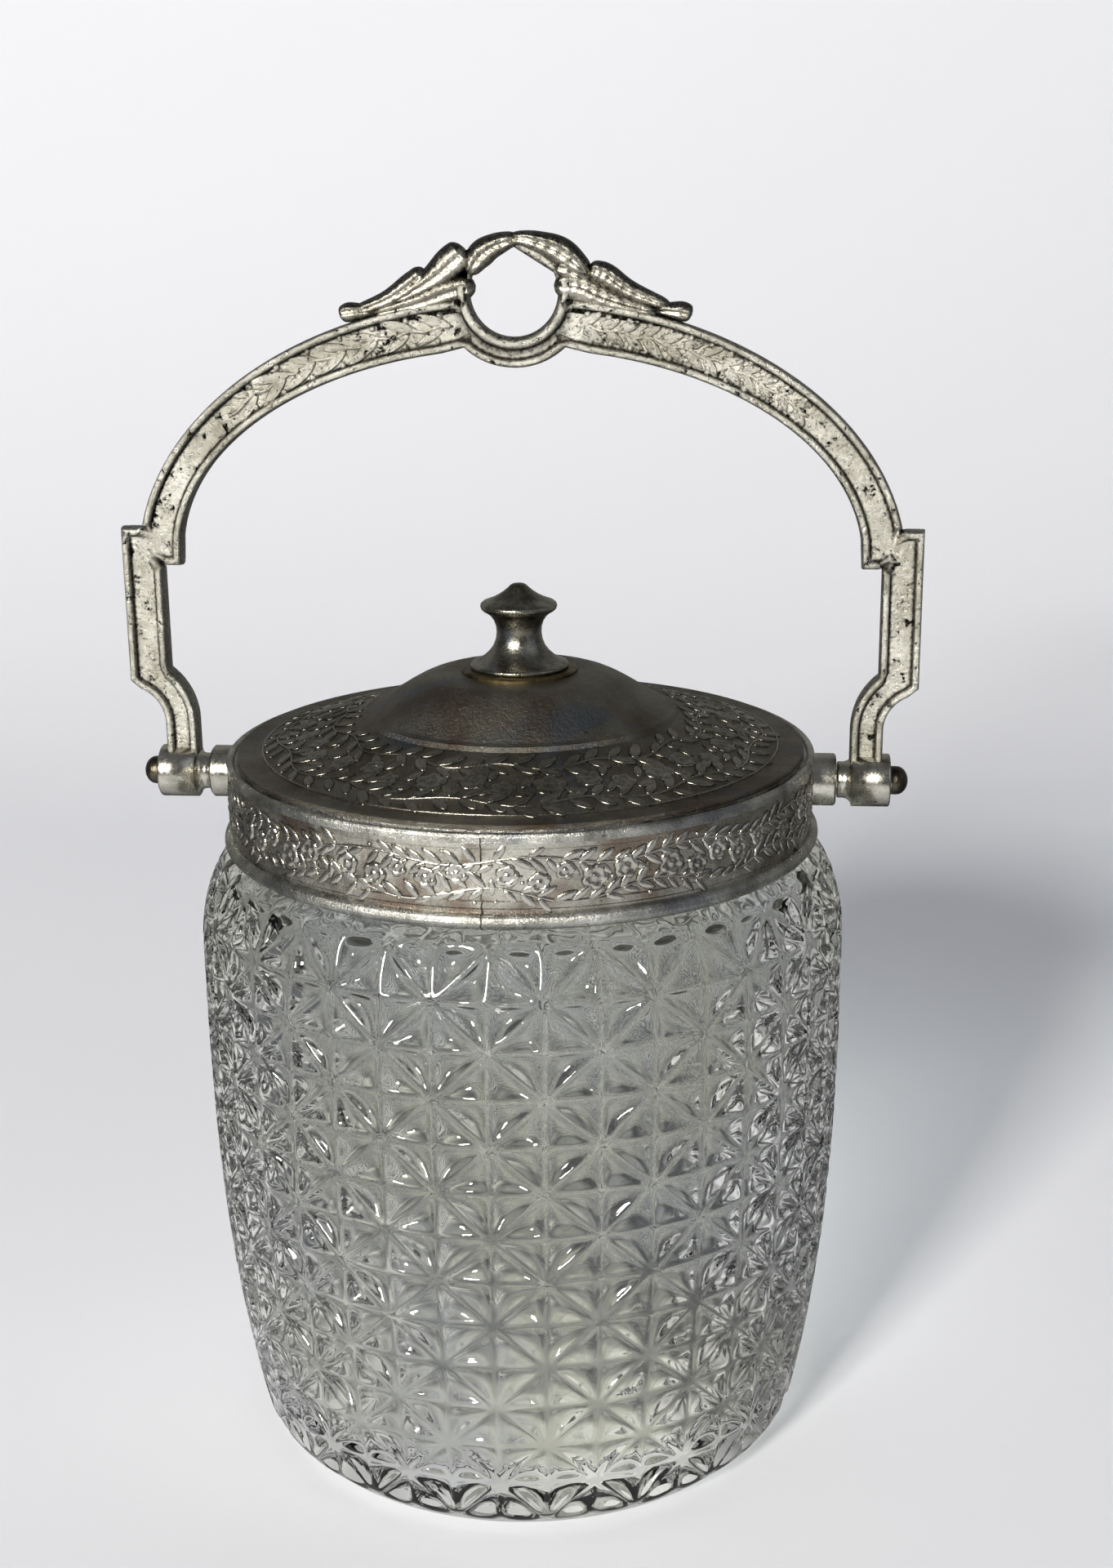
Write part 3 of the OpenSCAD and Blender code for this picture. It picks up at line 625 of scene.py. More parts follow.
# %% [markdown]
# ## The bail's casting
#
# The bail is one flat casting with a rib along every edge, front and back, and a hollow
# channel between the ribs. A flat shape whose height depends only on the distance to its own
# edge is easy to build well: lay points on lines at a few set distances inside the outline,
# join them all into triangles, and lift each point by a profile. The profile is the section
# of the casting: up the drafted side, over the round rib and down into the channel.

# %% Outline helpers
def arc(centre, radius, start, end, steps):
    """Points on an arc; the angles are in degrees, and 0 points along +X."""
    turns = [math.radians(start + (end - start) * k / steps) for k in range(steps + 1)]
    return [(centre[0] + radius * math.cos(a), centre[1] + radius * math.sin(a)) for a in turns]


def densify(loop, step):
    """The closed loop with its long edges cut into pieces no longer than step."""
    fine = []
    for p, q in zip(loop, loop[1:] + loop[:1]):
        count = max(1, math.ceil(math.dist(p, q) / step))
        dx, dz = q[0] - p[0], q[1] - p[1]
        fine += [(p[0] + dx * k / count, p[1] + dz * k / count) for k in range(count)]
    return fine


def edge_distance(points, loops):
    """Distance from each point to the nearest edge of the loops."""
    points = np.asarray(points, float)
    nearest = np.full(len(points), np.inf)
    for loop in loops:
        a = np.asarray(loop, float)
        b = np.roll(a, -1, axis=0)
        run = b - a
        length2 = (run**2).sum(1)
        for k in range(0, len(points), 2000):
            part = points[k : k + 2000, None, :] - a[None]
            along = np.clip((part * run[None]).sum(2) / length2[None], 0, 1)
            gap = part - along[..., None] * run[None]
            nearest[k : k + 2000] = np.minimum(nearest[k : k + 2000], np.sqrt((gap**2).sum(2)).min(1))
    return nearest


def inside_loop(points, loop):
    """Whether each point lies inside the closed loop."""
    points = np.asarray(points, float)
    a = np.asarray(loop, float)
    b = np.roll(a, -1, axis=0)
    px, pz = points[:, None, 0], points[:, None, 1]
    crosses = (a[None, :, 1] > pz) != (b[None, :, 1] > pz)
    with np.errstate(divide="ignore", invalid="ignore"):
        at = a[None, :, 0] + (pz - a[None, :, 1]) * (b - a)[None, :, 0] / (b - a)[None, :, 1]
    return (crosses & (px < at)).sum(1) % 2 == 1


# %% The bail's outline, in millimetres
nut_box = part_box("cap_nut_left")
PIVOT_Z = round((nut_box[0][2] + nut_box[1][2]) / 2 / MM, 2)
LEG_FOOT_H = 2
LEG_IN_X, LEG_W = 66.9, 6.7
ELBOW_H, ELBOW_OUT_R = 10.8, 7.5
UPRIGHT_IN_X, UPRIGHT_W = 72.2, 8.2
INNER_STEP_H, OUTER_STEP_H = 43.5, 51.3
ARCH_IN = (68.2, 40.9, 45.5)
ARCH_OUT = (77.0, 53.3, 43.1)
RING_Z = PIVOT_Z + 97.2
RING_LOW_R, RING_TOP_R, HOLE_R = 14.5, 11.2, 8.5
HOLE_PEAK, HOLE_SLOPE = 8.4, math.tan(math.radians(32))
# Where the arch meets the ring: its inside by x and by the angle on each, its outside by angle
MEET_X, MEET_RING_DEG, MEET_IN_DEG, MEET_OUT_DEG = 14.4, -47, 14.4, 9.5
ARCH_IN_END_DEG, ELBOW_END_DEG = 84.6, 112


def arch_z(half_arch, x):
    """Height of the arch at x, on the ellipse (half width, rise, height above the pivots)."""
    half_width, rise, height = half_arch
    return PIVOT_Z + height + rise * math.sqrt(max(0.0, 1 - (x / half_width) ** 2))


def arch_middle(x):
    """Height of the middle of the arch at x."""
    return 0.5 * (arch_z(ARCH_OUT, x) + arch_z(ARCH_IN, x))


def bail_right_half():
    """The right half of the outline: down its inside from the ring, then up its outside."""
    elbow = (LEG_IN_X + LEG_W + ELBOW_OUT_R, PIVOT_Z + ELBOW_H)
    elbow_in_r = LEG_W + ELBOW_OUT_R
    meet = math.degrees(math.acos((elbow[0] - UPRIGHT_IN_X) / elbow_in_r))
    inner = arc((0, RING_Z), RING_LOW_R, -90, MEET_RING_DEG, 12)
    inner += [(MEET_X, arch_z(ARCH_IN, MEET_X))]
    for k in range(1, 41):
        turned = MEET_IN_DEG + (ARCH_IN_END_DEG - MEET_IN_DEG) * k / 40
        x = ARCH_IN[0] * math.sin(math.radians(turned))
        inner.append((x, arch_z(ARCH_IN, x)))
    inner += [(ARCH_IN[0], PIVOT_Z + INNER_STEP_H), (UPRIGHT_IN_X, PIVOT_Z + INNER_STEP_H)]
    inner += arc(elbow, elbow_in_r, 180 - meet, 180, 14)
    inner.append((LEG_IN_X, PIVOT_Z + LEG_FOOT_H))
    outer = [(LEG_IN_X + LEG_W, PIVOT_Z + LEG_FOOT_H)]
    outer += arc(elbow, ELBOW_OUT_R, 180, ELBOW_END_DEG, 10)
    corner = UPRIGHT_IN_X + UPRIGHT_W
    top_x = ARCH_OUT[0] * math.sqrt(1 - ((OUTER_STEP_H - ARCH_OUT[2]) / ARCH_OUT[1]) ** 2)
    outer += [
        (corner, elbow[1] + ELBOW_OUT_R + 1.2),
        (corner, PIVOT_Z + OUTER_STEP_H),
        (top_x, PIVOT_Z + OUTER_STEP_H),
    ]
    start = math.degrees(math.asin(top_x / ARCH_OUT[0]))
    for k in range(1, 45):
        x = ARCH_OUT[0] * math.sin(math.radians(start + (MEET_OUT_DEG - start) * k / 44))
        outer.append((x, arch_z(ARCH_OUT, x)))
    meets = math.degrees(math.asin((arch_z(ARCH_OUT, RING_TOP_R) - RING_Z) / RING_TOP_R))
    outer += arc((0, RING_Z), RING_TOP_R, meets, 90, 20)
    return inner + outer


def hole_outline():
    """The finger hole: a circle whose top is cut by two straight sides that meet in a point."""
    half = []
    for k in range(61):
        a = math.radians(-90 + 180 * k / 60)
        x, z = HOLE_R * math.cos(a), HOLE_R * math.sin(a)
        half.append((x, RING_Z + min(z, HOLE_PEAK - HOLE_SLOPE * x)))
    return half + [(-x, z) for x, z in reversed(half[1:-1])]


right_half = bail_right_half()
bail_loop = densify(right_half + [(-x, z) for x, z in reversed(right_half) if x > 0.01], 0.9)
hole_loop = densify(hole_outline(), 0.8)
print("bail outline points:", len(bail_loop), "hole:", len(hole_loop))

# %% Lifting the casting from its outline
# Each section is pairs of distance from the edge and half depth. The side is drafted and
# rounded, the rib has a narrow crown, and the channel dips to its floor.
FAR, CROWN, CHANNEL = 99.0, 2.8, 1.42
SIDE = [(0.0, 0.0), (0.22, 2.25), (0.4, 2.6), (0.6, CROWN), (FAR, CROWN)]
RIB = [
    (0.0, CROWN), (1.25, 2.76), (1.5, 2.5), (1.7, 1.5), (1.9, 1.3), (2.3, 1.36), (3.0, CHANNEL),
    (FAR, CHANNEL),
]
HOLE_SIDE = [(0.0, 0.0), (0.2, 1.5), (0.55, 2.2), (0.95, 2.65), (1.25, CROWN), (FAR, CROWN)]
HOLE_RIB = [
    (0.0, CROWN), (1.8, 2.74), (2.1, 2.4), (2.4, 1.6), (2.8, 1.35), (4.2, CHANNEL), (FAR, CHANNEL)
]
# How bright the plate is at each distance: worn bright on the rib, painted shade on the side faces, and
# tarnish with painted shade in the crease beside the rib
EDGE_WEAR_AND_SHADE = [
    (0.0, 0.35), (0.25, 0.3), (0.42, 0.75), (0.6, 1.0), (1.3, 1.0), (1.5, 0.5), (1.7, 0.0), (1.9, 0.1),
    (2.3, 0.6), (3.0, 0.75), (FAR, 0.8),
]
HOLE_WEAR_AND_SHADE = [
    (0.0, 0.3), (0.8, 0.25), (1.1, 0.9), (1.8, 1.0), (2.1, 0.5), (2.4, 0.0), (2.8, 0.2), (4.2, 0.6),
    (FAR, 0.8),
]
# The net has lines at these distances from the edge, one for each bend of the section
EDGE_LEVELS = (0.22, 0.4, 0.6, 1.25, 1.5, 1.7, 1.9, 2.3, 3.0)
HOLE_LEVELS = (0.2, 0.55, 0.95, 1.25, 1.8, 2.1, 2.4, 2.8)
# Under the leaves of the crest the ring is only a low ground: its reach, its start and its depth
LEAF_GROUND_R, LEAF_GROUND_UP, LEAF_GROUND_DEPTH = 13.0, 2.2, 1.7
# Between the lines the net is a grid of points, with this step, row height and gap to the edge
GRID_STEP, GRID_ROW, GRID_FROM_EDGE = 1.0, 0.87, 3.5


def half_depth(points):
    """Half depth of the casting at each point."""
    from_edge = edge_distance(points, [bail_loop])
    from_hole = edge_distance(points, [hole_loop])
    side = np.minimum(np.interp(from_edge, *zip(*SIDE)), np.interp(from_hole, *zip(*HOLE_SIDE)))
    ribs = np.maximum(np.interp(from_edge, *zip(*RIB)), np.interp(from_hole, *zip(*HOLE_RIB)))
    depth = np.minimum(side, ribs)
    # The leaves of the crest lie where the upper half of the ring would have its ribs
    in_ring = np.hypot(points[:, 0], points[:, 1] - RING_Z) < LEAF_GROUND_R
    under_leaves = in_ring & (points[:, 1] > RING_Z + LEAF_GROUND_UP)
    return np.where(under_leaves, np.minimum(depth, LEAF_GROUND_DEPTH), depth)


def set_in(loop, level, side):
    """The loop moved in by a level, with mitred corners."""
    p = np.asarray(loop, float)
    run = np.roll(p, -1, axis=0) - p
    run /= np.linalg.norm(run, axis=1)[:, None]
    normal = side * np.stack([-run[:, 1], run[:, 0]], 1)
    before = np.roll(normal, 1, axis=0)
    return p + level * (normal + before) / (1 + (normal * before).sum(1))[:, None]


def inside_casting(points):
    """Whether each point lies in the metal, and not in the finger hole."""
    return inside_loop(points, bail_loop) & ~inside_loop(points, hole_loop)


def casting_net():
    """Flat points and triangles of the casting: its edges, lines along them, and a grid between."""
    loops = [bail_loop, hole_loop]
    parts = [np.asarray(loop, float) for loop in loops]
    for loop, levels in ((bail_loop, EDGE_LEVELS), (hole_loop, HOLE_LEVELS)):
        turned = sum(p[0] * q[1] - q[0] * p[1] for p, q in zip(loop, loop[1:] + loop[:1])) > 0
        sign = 1 if turned == (loop is bail_loop) else -1
        for level in levels:
            line = set_in(loop, level, sign)
            parts.append(line[np.abs(edge_distance(line, loops) - level) < 0.03])
    low, high = np.min(bail_loop, 0), np.max(bail_loop, 0)
    columns = np.arange(low[0], high[0], GRID_STEP)
    xs, zs = np.meshgrid(columns, np.arange(low[1], high[1], GRID_ROW))
    xs = xs + 0.5 * (np.arange(xs.shape[0]) % 2)[:, None]
    grid = np.stack([xs.ravel(), zs.ravel()], 1)
    grid = grid[inside_casting(grid)]
    parts.append(grid[edge_distance(grid, loops) > GRID_FROM_EDGE])
    borders, start = [], 0
    for loop in loops:
        borders += [(start + k, start + (k + 1) % len(loop)) for k in range(len(loop))]
        start += len(loop)
    made = delaunay_2d_cdt([Vector(p) for p in np.concatenate(parts)], borders, [], 0, 1e-5)
    flat = np.array([tuple(v) for v in made[0]])
    triangles = np.array(made[2])
    return flat, triangles[inside_casting(flat[triangles].mean(1))]


def build_casting():
    """The casting as a closed mesh, front and back."""
    flat, triangles = casting_net()
    depth = half_depth(flat)
    on_edge = edge_distance(flat, [bail_loop, hole_loop]) < 1e-4
    depth[on_edge] = 0
    # Painted shade on the side faces, and tarnish with painted shade in the crease beside each rib
    wear_and_shade = np.interp(edge_distance(flat, [bail_loop]), *zip(*EDGE_WEAR_AND_SHADE))
    wear_and_shade = np.minimum(wear_and_shade, np.interp(edge_distance(flat, [hole_loop]), *zip(*HOLE_WEAR_AND_SHADE)))
    wear_and_shade = wear_and_shade.tolist()
    points = [(x, -y, z) for (x, z), y in zip(flat, depth)]
    back = {}
    for k in range(len(flat)):
        back[k] = k if on_edge[k] else len(points)
        if not on_edge[k]:
            points.append((flat[k][0], depth[k], flat[k][1]))
            wear_and_shade.append(wear_and_shade[k])
    faces = [tuple(t) for t in triangles.tolist()]
    faces += [tuple(back[k] for k in reversed(t)) for t in triangles.tolist()]
    return points, faces, wear_and_shade


def lathe(profile, at, axis, steps=64):
    """A closed turned form from a loop of (distance along the axis, radius)."""
    turn = Vector((0, 0, 1)).rotation_difference(Vector(axis)).to_matrix()
    points, faces = [], []
    for along, radius in profile:
        for k in range(steps):
            a = 2 * math.pi * k / steps
            spoke = Vector((radius * math.cos(a), radius * math.sin(a), along))
            points.append(tuple(Vector(at) + turn @ spoke))
    rows = len(profile)
    for r in range(rows):
        for k in range(steps):
            a, b = r * steps + k, r * steps + (k + 1) % steps
            c, d = (r + 1) % rows * steps + (k + 1) % steps, (r + 1) % rows * steps + k
            faces.append((a, b, c, d))
    return points, faces


def join_forms(forms):
    """Several (points, faces) forms as one."""
    points, faces = [], []
    for form_points, form_faces in forms:
        start = len(points)
        points += form_points
        faces += [tuple(k + start for k in face) for face in form_faces]
    return points, faces


def face_outwards(made):
    """Turns every closed shell of a mesh so that its faces point outwards."""
    work = bmesh.new()
    work.from_mesh(made.data)
    bmesh.ops.remove_doubles(work, verts=work.verts, dist=0.0005 * MM)
    bmesh.ops.recalc_face_normals(work, faces=work.faces)
    work.to_mesh(made.data)
    work.free()
    made.data.shade_smooth()
    return made


# %% The eyes at the feet of the bail
EYE_START_X, EYE_NECK_D, EYE_NECK_L = 64.6, 7.4, 2.9
EYE_D, EYE_L, EYE_BORE_R = 10.8, 7.7, 2.45


def eye_profile():
    """Neck, flare and barrel of an eye, with its bore, as (distance from the middle, radius)."""
    neck, barrel_r, end = EYE_NECK_D / 2, EYE_D / 2, EYE_START_X + EYE_NECK_L + EYE_L
    flare = []
    for k in range(9):
        a = math.pi / 2 * k / 8
        along = EYE_START_X + 1 + (EYE_NECK_L - 1) * math.sin(a)
        flare.append((along, neck + (barrel_r - neck) * (1 - math.cos(a))))
    start = [(EYE_START_X, EYE_BORE_R), (EYE_START_X, neck - 0.15), (EYE_START_X + 0.15, neck)]
    rounding = ((0.45, 0.0), (0.2, 0.08), (0.05, 0.25), (0.0, 0.5))
    edge = [(end - back, barrel_r - less) for back, less in rounding]
    return start + flare + edge + [(end, EYE_BORE_R)]


eyes = [lathe(eye_profile(), (0, 0, PIVOT_Z), (side, 0, 0)) for side in (1, -1)]
bail_eyes = face_outwards(make_piece("bail_eyes", *join_forms(eyes), pivot_plate))
casting_points, casting_faces, casting_wear_and_shade = build_casting()
bail_casting = make_piece("bail_casting", casting_points, casting_faces, bail_plate, casting_wear_and_shade)
face_outwards(bail_casting)
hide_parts("bail")
for piece in (bail_casting, bail_eyes):
    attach(piece, "bail")
print("bail faces:", len(bail_casting.data.polygons))

# %% [markdown]
# ## The knob
#
# The knob is turned on a lathe from a plated casting: a thin wide foot, a waist for two
# fingers, a rounded rim and a hollow cone that ends in a small flat button. One profile
# spun round the axis gives all of it, with the hole that the screw comes up through.

# %% Knob profile, (height over its foot, radius) in millimetres
KNOB_PROFILE = [
    (0.0, 1.85), (0.0, 9.7), (0.15, 9.95), (0.7, 10.0), (0.95, 9.8), (1.15, 9.2), (1.55, 8.3),
    (2.2, 7.3), (3.2, 6.2), (4.4, 5.3), (5.8, 4.75), (7.2, 4.55), (8.5, 4.65), (9.7, 5.05),
    (10.7, 5.75), (11.4, 6.6), (11.75, 7.25), (12.1, 7.6), (12.6, 7.78), (13.1, 7.65), (13.45, 7.2),
    (13.75, 6.4), (14.2, 5.3), (14.85, 4.1), (15.6, 3.0), (16.35, 2.1), (16.8, 1.65), (17.08, 1.2),
    (17.18, 0.6), (17.2, 0.02), (8.6, 0.02), (8.6, 1.85),
]
knob_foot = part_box("knob")[0][2] / MM
knob_form = lathe(KNOB_PROFILE, (0, 0, knob_foot), (0, 0, 1), 96)
turned_knob = make_piece("turned_knob", *knob_form, knob_plate)
face_outwards(turned_knob)
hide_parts("knob")
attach(turned_knob, "lid")
print("knob faces:", len(turned_knob.data.polygons))

# %% [markdown]
# ## The crest
#
# Long curled leaves lie against each other on both sides of the finger ring. Each has a blunt
# round end near the ring and thins out along the arch, like a feather. A leaf is a tube drawn
# along a curved spine, flat on its sides, with a vein pressed along its middle and flutes
# that slant away from the vein. The left and the right differ a little, as carved patterns do.
# Their upper sides are darker, as painted shade, and so are their blunt ends.

# %% Crest leaves
def smooth_path(points, count):
    """A smooth curve through the points, by Catmull-Rom."""
    p = np.asarray(points, float)
    p = np.concatenate([[2 * p[0] - p[1]], p, [2 * p[-1] - p[-2]]])
    made = []
    for s in np.linspace(0, len(p) - 3 - 1e-9, count):
        k, t = int(s), s - int(s)
        a, b, c, d = p[k : k + 4]
        square, cube = 2 * a - 5 * b + 4 * c - d, 3 * b - a - 3 * c + d
        made.append(0.5 * (2 * b + (c - a) * t + square * t**2 + cube * t**3))
    return np.array(made)


# Shares of a leaf's length where its blunt start ends and its tip begins
BLUNT, TIP = 0.14, 0.9


def fullness(s):
    """How full a leaf is at a share s of its length: blunt at its start, thin at its tip."""
    if s < BLUNT:
        return math.sqrt(1 - (1 - s / BLUNT) ** 2)
    return math.sqrt(1 - ((s - TIP) / 0.1) ** 2) if s > TIP else 1.0


def crest_leaf(spine, thick, flutes, lean):
    """A closed leaf, its wear and its painted shade, from (x, z, half width) along its spine; thick is
    its half depth.
    """
    stations, sides = 44, 32
    path = smooth_path([(x, z) for x, z, _ in spine], stations)
    widths = smooth_path([(w, 0) for _, _, w in spine], stations)[:, 0]
    tangent = np.gradient(path, axis=0)
    tangent /= np.linalg.norm(tangent, axis=1)[:, None]
    across = np.stack([-tangent[:, 1], tangent[:, 0]], 1)
    points, wear_and_shade = [], []
    for k in range(stations):
        s = k / (stations - 1)
        end = fullness(s)
        half = widths[k] * end + 0.02
        for i in range(sides):
            a = 2 * math.pi * i / sides
            u, face = math.cos(a), math.sin(a)
            vein = 0.34 * math.exp(-(((u - 0.12) / 0.14) ** 2))
            barb = 0.04 * math.sin(2 * math.pi * flutes * s + 4.5 * abs(u)) * (1 - u * u)
            rise = (1 - abs(u) ** 2.4) ** 0.5 - vein + barb if 0 < i % (sides // 2) else 0.0
            deep = thick * (0.5 + 0.5 * min(1.0, widths[k] / 2)) * end * (rise + lean * u)
            q = path[k] + across[k] * half * u
            points.append((q[0], -math.copysign(max(0.0, deep), face), q[1] + RING_Z))
            # Painted shade darkens the upper side of each leaf; the blunt end is darker too
            upper = min(1.0, max(0.0, 1.8 * u * math.copysign(1.0, across[k][1]) + 0.25))
            blunt = 0.35 + 0.65 * min(1.0, s / 0.16)
            wear_and_shade.append(max(0.0, min(1.0, (1.3 * rise - 0.2) * (1 - 0.7 * upper) * blunt)))
    faces = []
    for k in range(stations - 1):
        for i in range(sides):
            a, b = k * sides + i, k * sides + (i + 1) % sides
            faces.append((a, b, b + sides, a + sides))
    faces.append(tuple(reversed(range(sides))))
    faces.append(tuple((stations - 1) * sides + i for i in range(sides)))
    return points, faces, wear_and_shade


# (x, z, half width) along each spine from its blunt end, about the middle of the ring; then
# half depth, number of barbs, and how much the leaf leans forward on its upper side
CREST_LEAVES = [
    ([(1.2, 10.2, 1.2), (-3.2, 9.0, 2.1), (-6.5, 6.9, 2.6), (-8.9, 3.4, 1.4)], 3.2, 6, 0.12),
    ([(-9.4, 8.2, 2.6), (-12.4, 5.5, 3.1), (-17.0, 1.9, 2.2), (-24.5, -2.0, 0.9)], 3.0, 9, 0.15),
    ([(-17.2, 4.3, 1.6), (-20.4, 1.5, 2.1), (-25.0, -1.3, 1.6), (-31.2, -3.6, 1.1)], 2.75, 9, 0.15),
    ([(-7.4, 1.2, 2.0), (-12.5, 0.3, 2.6), (-19.0, -2.0, 2.1), (-28.5, -4.3, 1.0)], 2.85, 10, -0.1),
    ([(-34.2, -4.4, 1.4), (-32.5, -3.8, 1.9), (-30.4, -3.6, 1.6), (-27.6, -3.4, 1.0)], 2.8, 2, 0.0),
    ([(-1.0, 10.2, 1.2), (4.4, 9.3, 2.1), (9.4, 7.1, 2.9), (14.6, 3.2, 1.6)], 3.25, 7, 0.15),
    ([(14.2, 4.2, 1.7), (17.6, 3.1, 2.3), (22.4, 0.1, 1.9), (30.5, -3.1, 1.1)], 2.95, 9, 0.15),
    ([(7.7, 1.2, 2.1), (12.6, 0.9, 3.0), (19.0, -1.7, 2.3), (28.5, -4.2, 1.0)], 2.85, 10, -0.1),
    ([(7.9, 4.4, 1.5), (10.8, 3.9, 1.9), (13.6, 2.2, 1.4), (16.0, 0.2, 0.6)], 3.1, 4, 0.2),
    ([(34.4, -4.5, 1.4), (32.7, -3.9, 1.9), (30.6, -3.6, 1.6), (27.8, -3.4, 1.0)], 2.8, 2, 0.0),
]
# The ground behind the leaves, low enough to lie in their shade
CREST_GROUND = [
    (9.4, 0.0), (9.0, -3.5), (31.8, -7.0), (31.4, -4.6), (24.0, -1.8), (19.6, 1.2), (16.4, 3.8),
    (13.4, 5.0), (10.8, 7.2), (7.8, 8.4), (8.6, 4.6),
]


def crest_ground(side):
    """The plate behind the leaves on one side of the ring."""
    points = [(side * x, -1.7, z + RING_Z) for x, z in CREST_GROUND]
    points += [(side * x, 1.7, z + RING_Z) for x, z in CREST_GROUND]
    n = len(CREST_GROUND)
    faces = [tuple(range(n)), tuple(reversed(range(n, 2 * n)))]
    faces += [(k, k + n, (k + 1) % n + n, (k + 1) % n) for k in range(n)]
    return points, faces, [0.1] * len(points)


leaf_forms = [crest_leaf(*leaf) for leaf in CREST_LEAVES] + [crest_ground(1), crest_ground(-1)]
crest_wear_and_shade = [value for _, _, wear_and_shade in leaf_forms for value in wear_and_shade]
crest_points, crest_faces = join_forms([form[:2] for form in leaf_forms])
crest = face_outwards(make_piece("bail_crest", crest_points, crest_faces, crest_plate, crest_wear_and_shade))
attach(crest, "bail")
print("crest faces:", len(crest.data.polygons))

# %% [markdown]
# ## The stamped and cast ornament
#
# The collar, the slope of the lid and the arch of the bail all carry the same kind of old
# garden pattern: a running vine with pairs of pointed leaves, small five-petal roses and
# round buds. The dies pressed it about half a millimetre high. Three small motifs are
# modelled once. Then a list of places says where each copy sits, how it is turned and how
# large it is, and Geometry Nodes set the copies, so that a whole garland is one mesh.

# %% Motifs, one millimetre long
def motif_from(name, points, faces):
    """A motif as a mesh object that only the node trees see; its crowns are worn bright."""
    heights = [z for _, _, z in points]
    worn = [(z - min(heights)) / (max(heights) - min(heights)) for z in heights]
    return bpy.data.objects.new(name, new_mesh(name, points, faces, worn))


def leaf_motif():
    """A pointed leaf along +X with a pressed vein; its middle is at the origin."""
    along = [0.0, 0.12, 0.3, 0.5, 0.7, 0.88, 1.0]
    widths = [0.0, 0.11, 0.2, 0.23, 0.19, 0.1, 0.0]
    points, faces, rows = [], [], []
    for s, w in zip(along, widths):
        if w == 0:
            rows.append([len(points)])
            points.append((s - 0.5, 0, 0.02))
            continue
        rows.append(list(range(len(points), len(points) + 5)))
        curl = 0.16 + 0.05 * math.sin(math.pi * s)
        points += [
            (s - 0.5, -w, -0.06), (s - 0.5, -w * 0.6, curl), (s - 0.5, 0, curl * 0.45),
            (s - 0.5, w * 0.6, curl), (s - 0.5, w, -0.06),
        ]
    for a, b in zip(rows, rows[1:]):
        if len(a) == 1:
            faces += [(a[0], b[k], b[k + 1]) for k in range(4)] + [(a[0], b[4], b[0])]
        elif len(b) == 1:
            faces += [(a[k + 1], a[k], b[0]) for k in range(4)] + [(a[0], a[4], b[0])]
        else:
            faces += [(a[k], b[k], b[k + 1], a[k + 1]) for k in range(4)] + [(a[4], b[4], b[0], a[0])]
    return motif_from("leaf_motif", points, faces)


def rose_motif():
    """A rose of five petals round a button, one millimetre across."""
    turns = 20
    radii = [0.09, 0.17, 0.27, 0.38, 0.46, 0.52]
    heights = [0.16, 0.05, 0.17, 0.20, 0.12, -0.08]
    points, faces = [(0, 0, 0.19)], []
    for radius, height in zip(radii, heights):
        for k in range(turns):
            a = 2 * math.pi * k / turns
            petal = abs(math.cos(2.5 * a))
            reach = radius * (0.84 + 0.16 * petal) if radius > 0.2 else radius
            rise = height - (0.09 * (1 - petal) if 0.2 < radius < 0.5 else 0.0)
            points.append((reach * math.cos(a), reach * math.sin(a), rise))
    for k in range(turns):
        faces.append((0, 1 + k, 1 + (k + 1) % turns))
        for r in range(len(radii) - 1):
            a, b = 1 + r * turns + k, 1 + r * turns + (k + 1) % turns
            faces.append((a, a + turns, b + turns, b))
    faces.append(tuple(1 + (len(radii) - 1) * turns + k for k in reversed(range(turns))))
    return motif_from("rose_motif", points, faces)


def bud_motif():
    """A round bud, one millimetre across."""
    points, faces, turns = [(0, 0, 0.34)], [], 10
    for degrees in (60, 35, 10, -20):
        a = math.radians(degrees)
        points += [
            (0.5 * math.cos(a) * math.cos(t), 0.5 * math.cos(a) * math.sin(t), 0.34 * math.sin(a))
            for t in (2 * math.pi * k / turns for k in range(turns))
        ]
    for k in range(turns):
        faces.append((0, 1 + k, 1 + (k + 1) % turns))
        for r in range(3):
            a, b = 1 + r * turns + k, 1 + r * turns + (k + 1) % turns
            faces.append((a, a + turns, b + turns, b))
    faces.append(tuple(1 + 3 * turns + k for k in reversed(range(turns))))
    return motif_from("bud_motif", points, faces)


leaf, rose, bud = leaf_motif(), rose_motif(), bud_motif()
print("motif faces:", [len(made.data.polygons) for made in (leaf, rose, bud)])

# %% [markdown]
# ## A tree that sets the motifs, and one that draws the stems
#
# The places come in as the points of a mesh. Each carries its turn as three Euler angles, and
# its length, breadth and height as three more numbers. The tree copies the motif there, with
# a small chance difference in size from a fixed seed, as a hand-cut die has. Stems come in as
# lines, and a second tree sweeps a small circle along them.

# %% The trees
set_motifs = new_tree("set_motifs", {
    "Motif": ("NodeSocketObject", None),
    "Size": ("NodeSocketFloat", 1.0),
    "Spread": ("NodeSocketFloat", 0.12),
    "Seed": ("NodeSocketInt", 3),
    "Finish": ("NodeSocketMaterial", None),
})
given = add(set_motifs, "NodeGroupInput").outputs
turn = add(
    set_motifs, "GeometryNodeInputNamedAttribute", {"Name": "turn"}, data_type="FLOAT_VECTOR"
)
turn = add(set_motifs, "FunctionNodeEulerToRotation", {"Euler": turn})
scale = add(
    set_motifs, "GeometryNodeInputNamedAttribute", {"Name": "scale"}, data_type="FLOAT_VECTOR"
)
least = add(set_motifs, "ShaderNodeMath", {0: 1.0, 1: given["Spread"]}, operation="SUBTRACT")
most = add(set_motifs, "ShaderNodeMath", {0: 1.0, 1: given["Spread"]}, operation="ADD")
chance = add(
    set_motifs, "FunctionNodeRandomValue",
    {"Min": least, "Max": most, "Seed": given["Seed"]}, data_type="FLOAT",
)
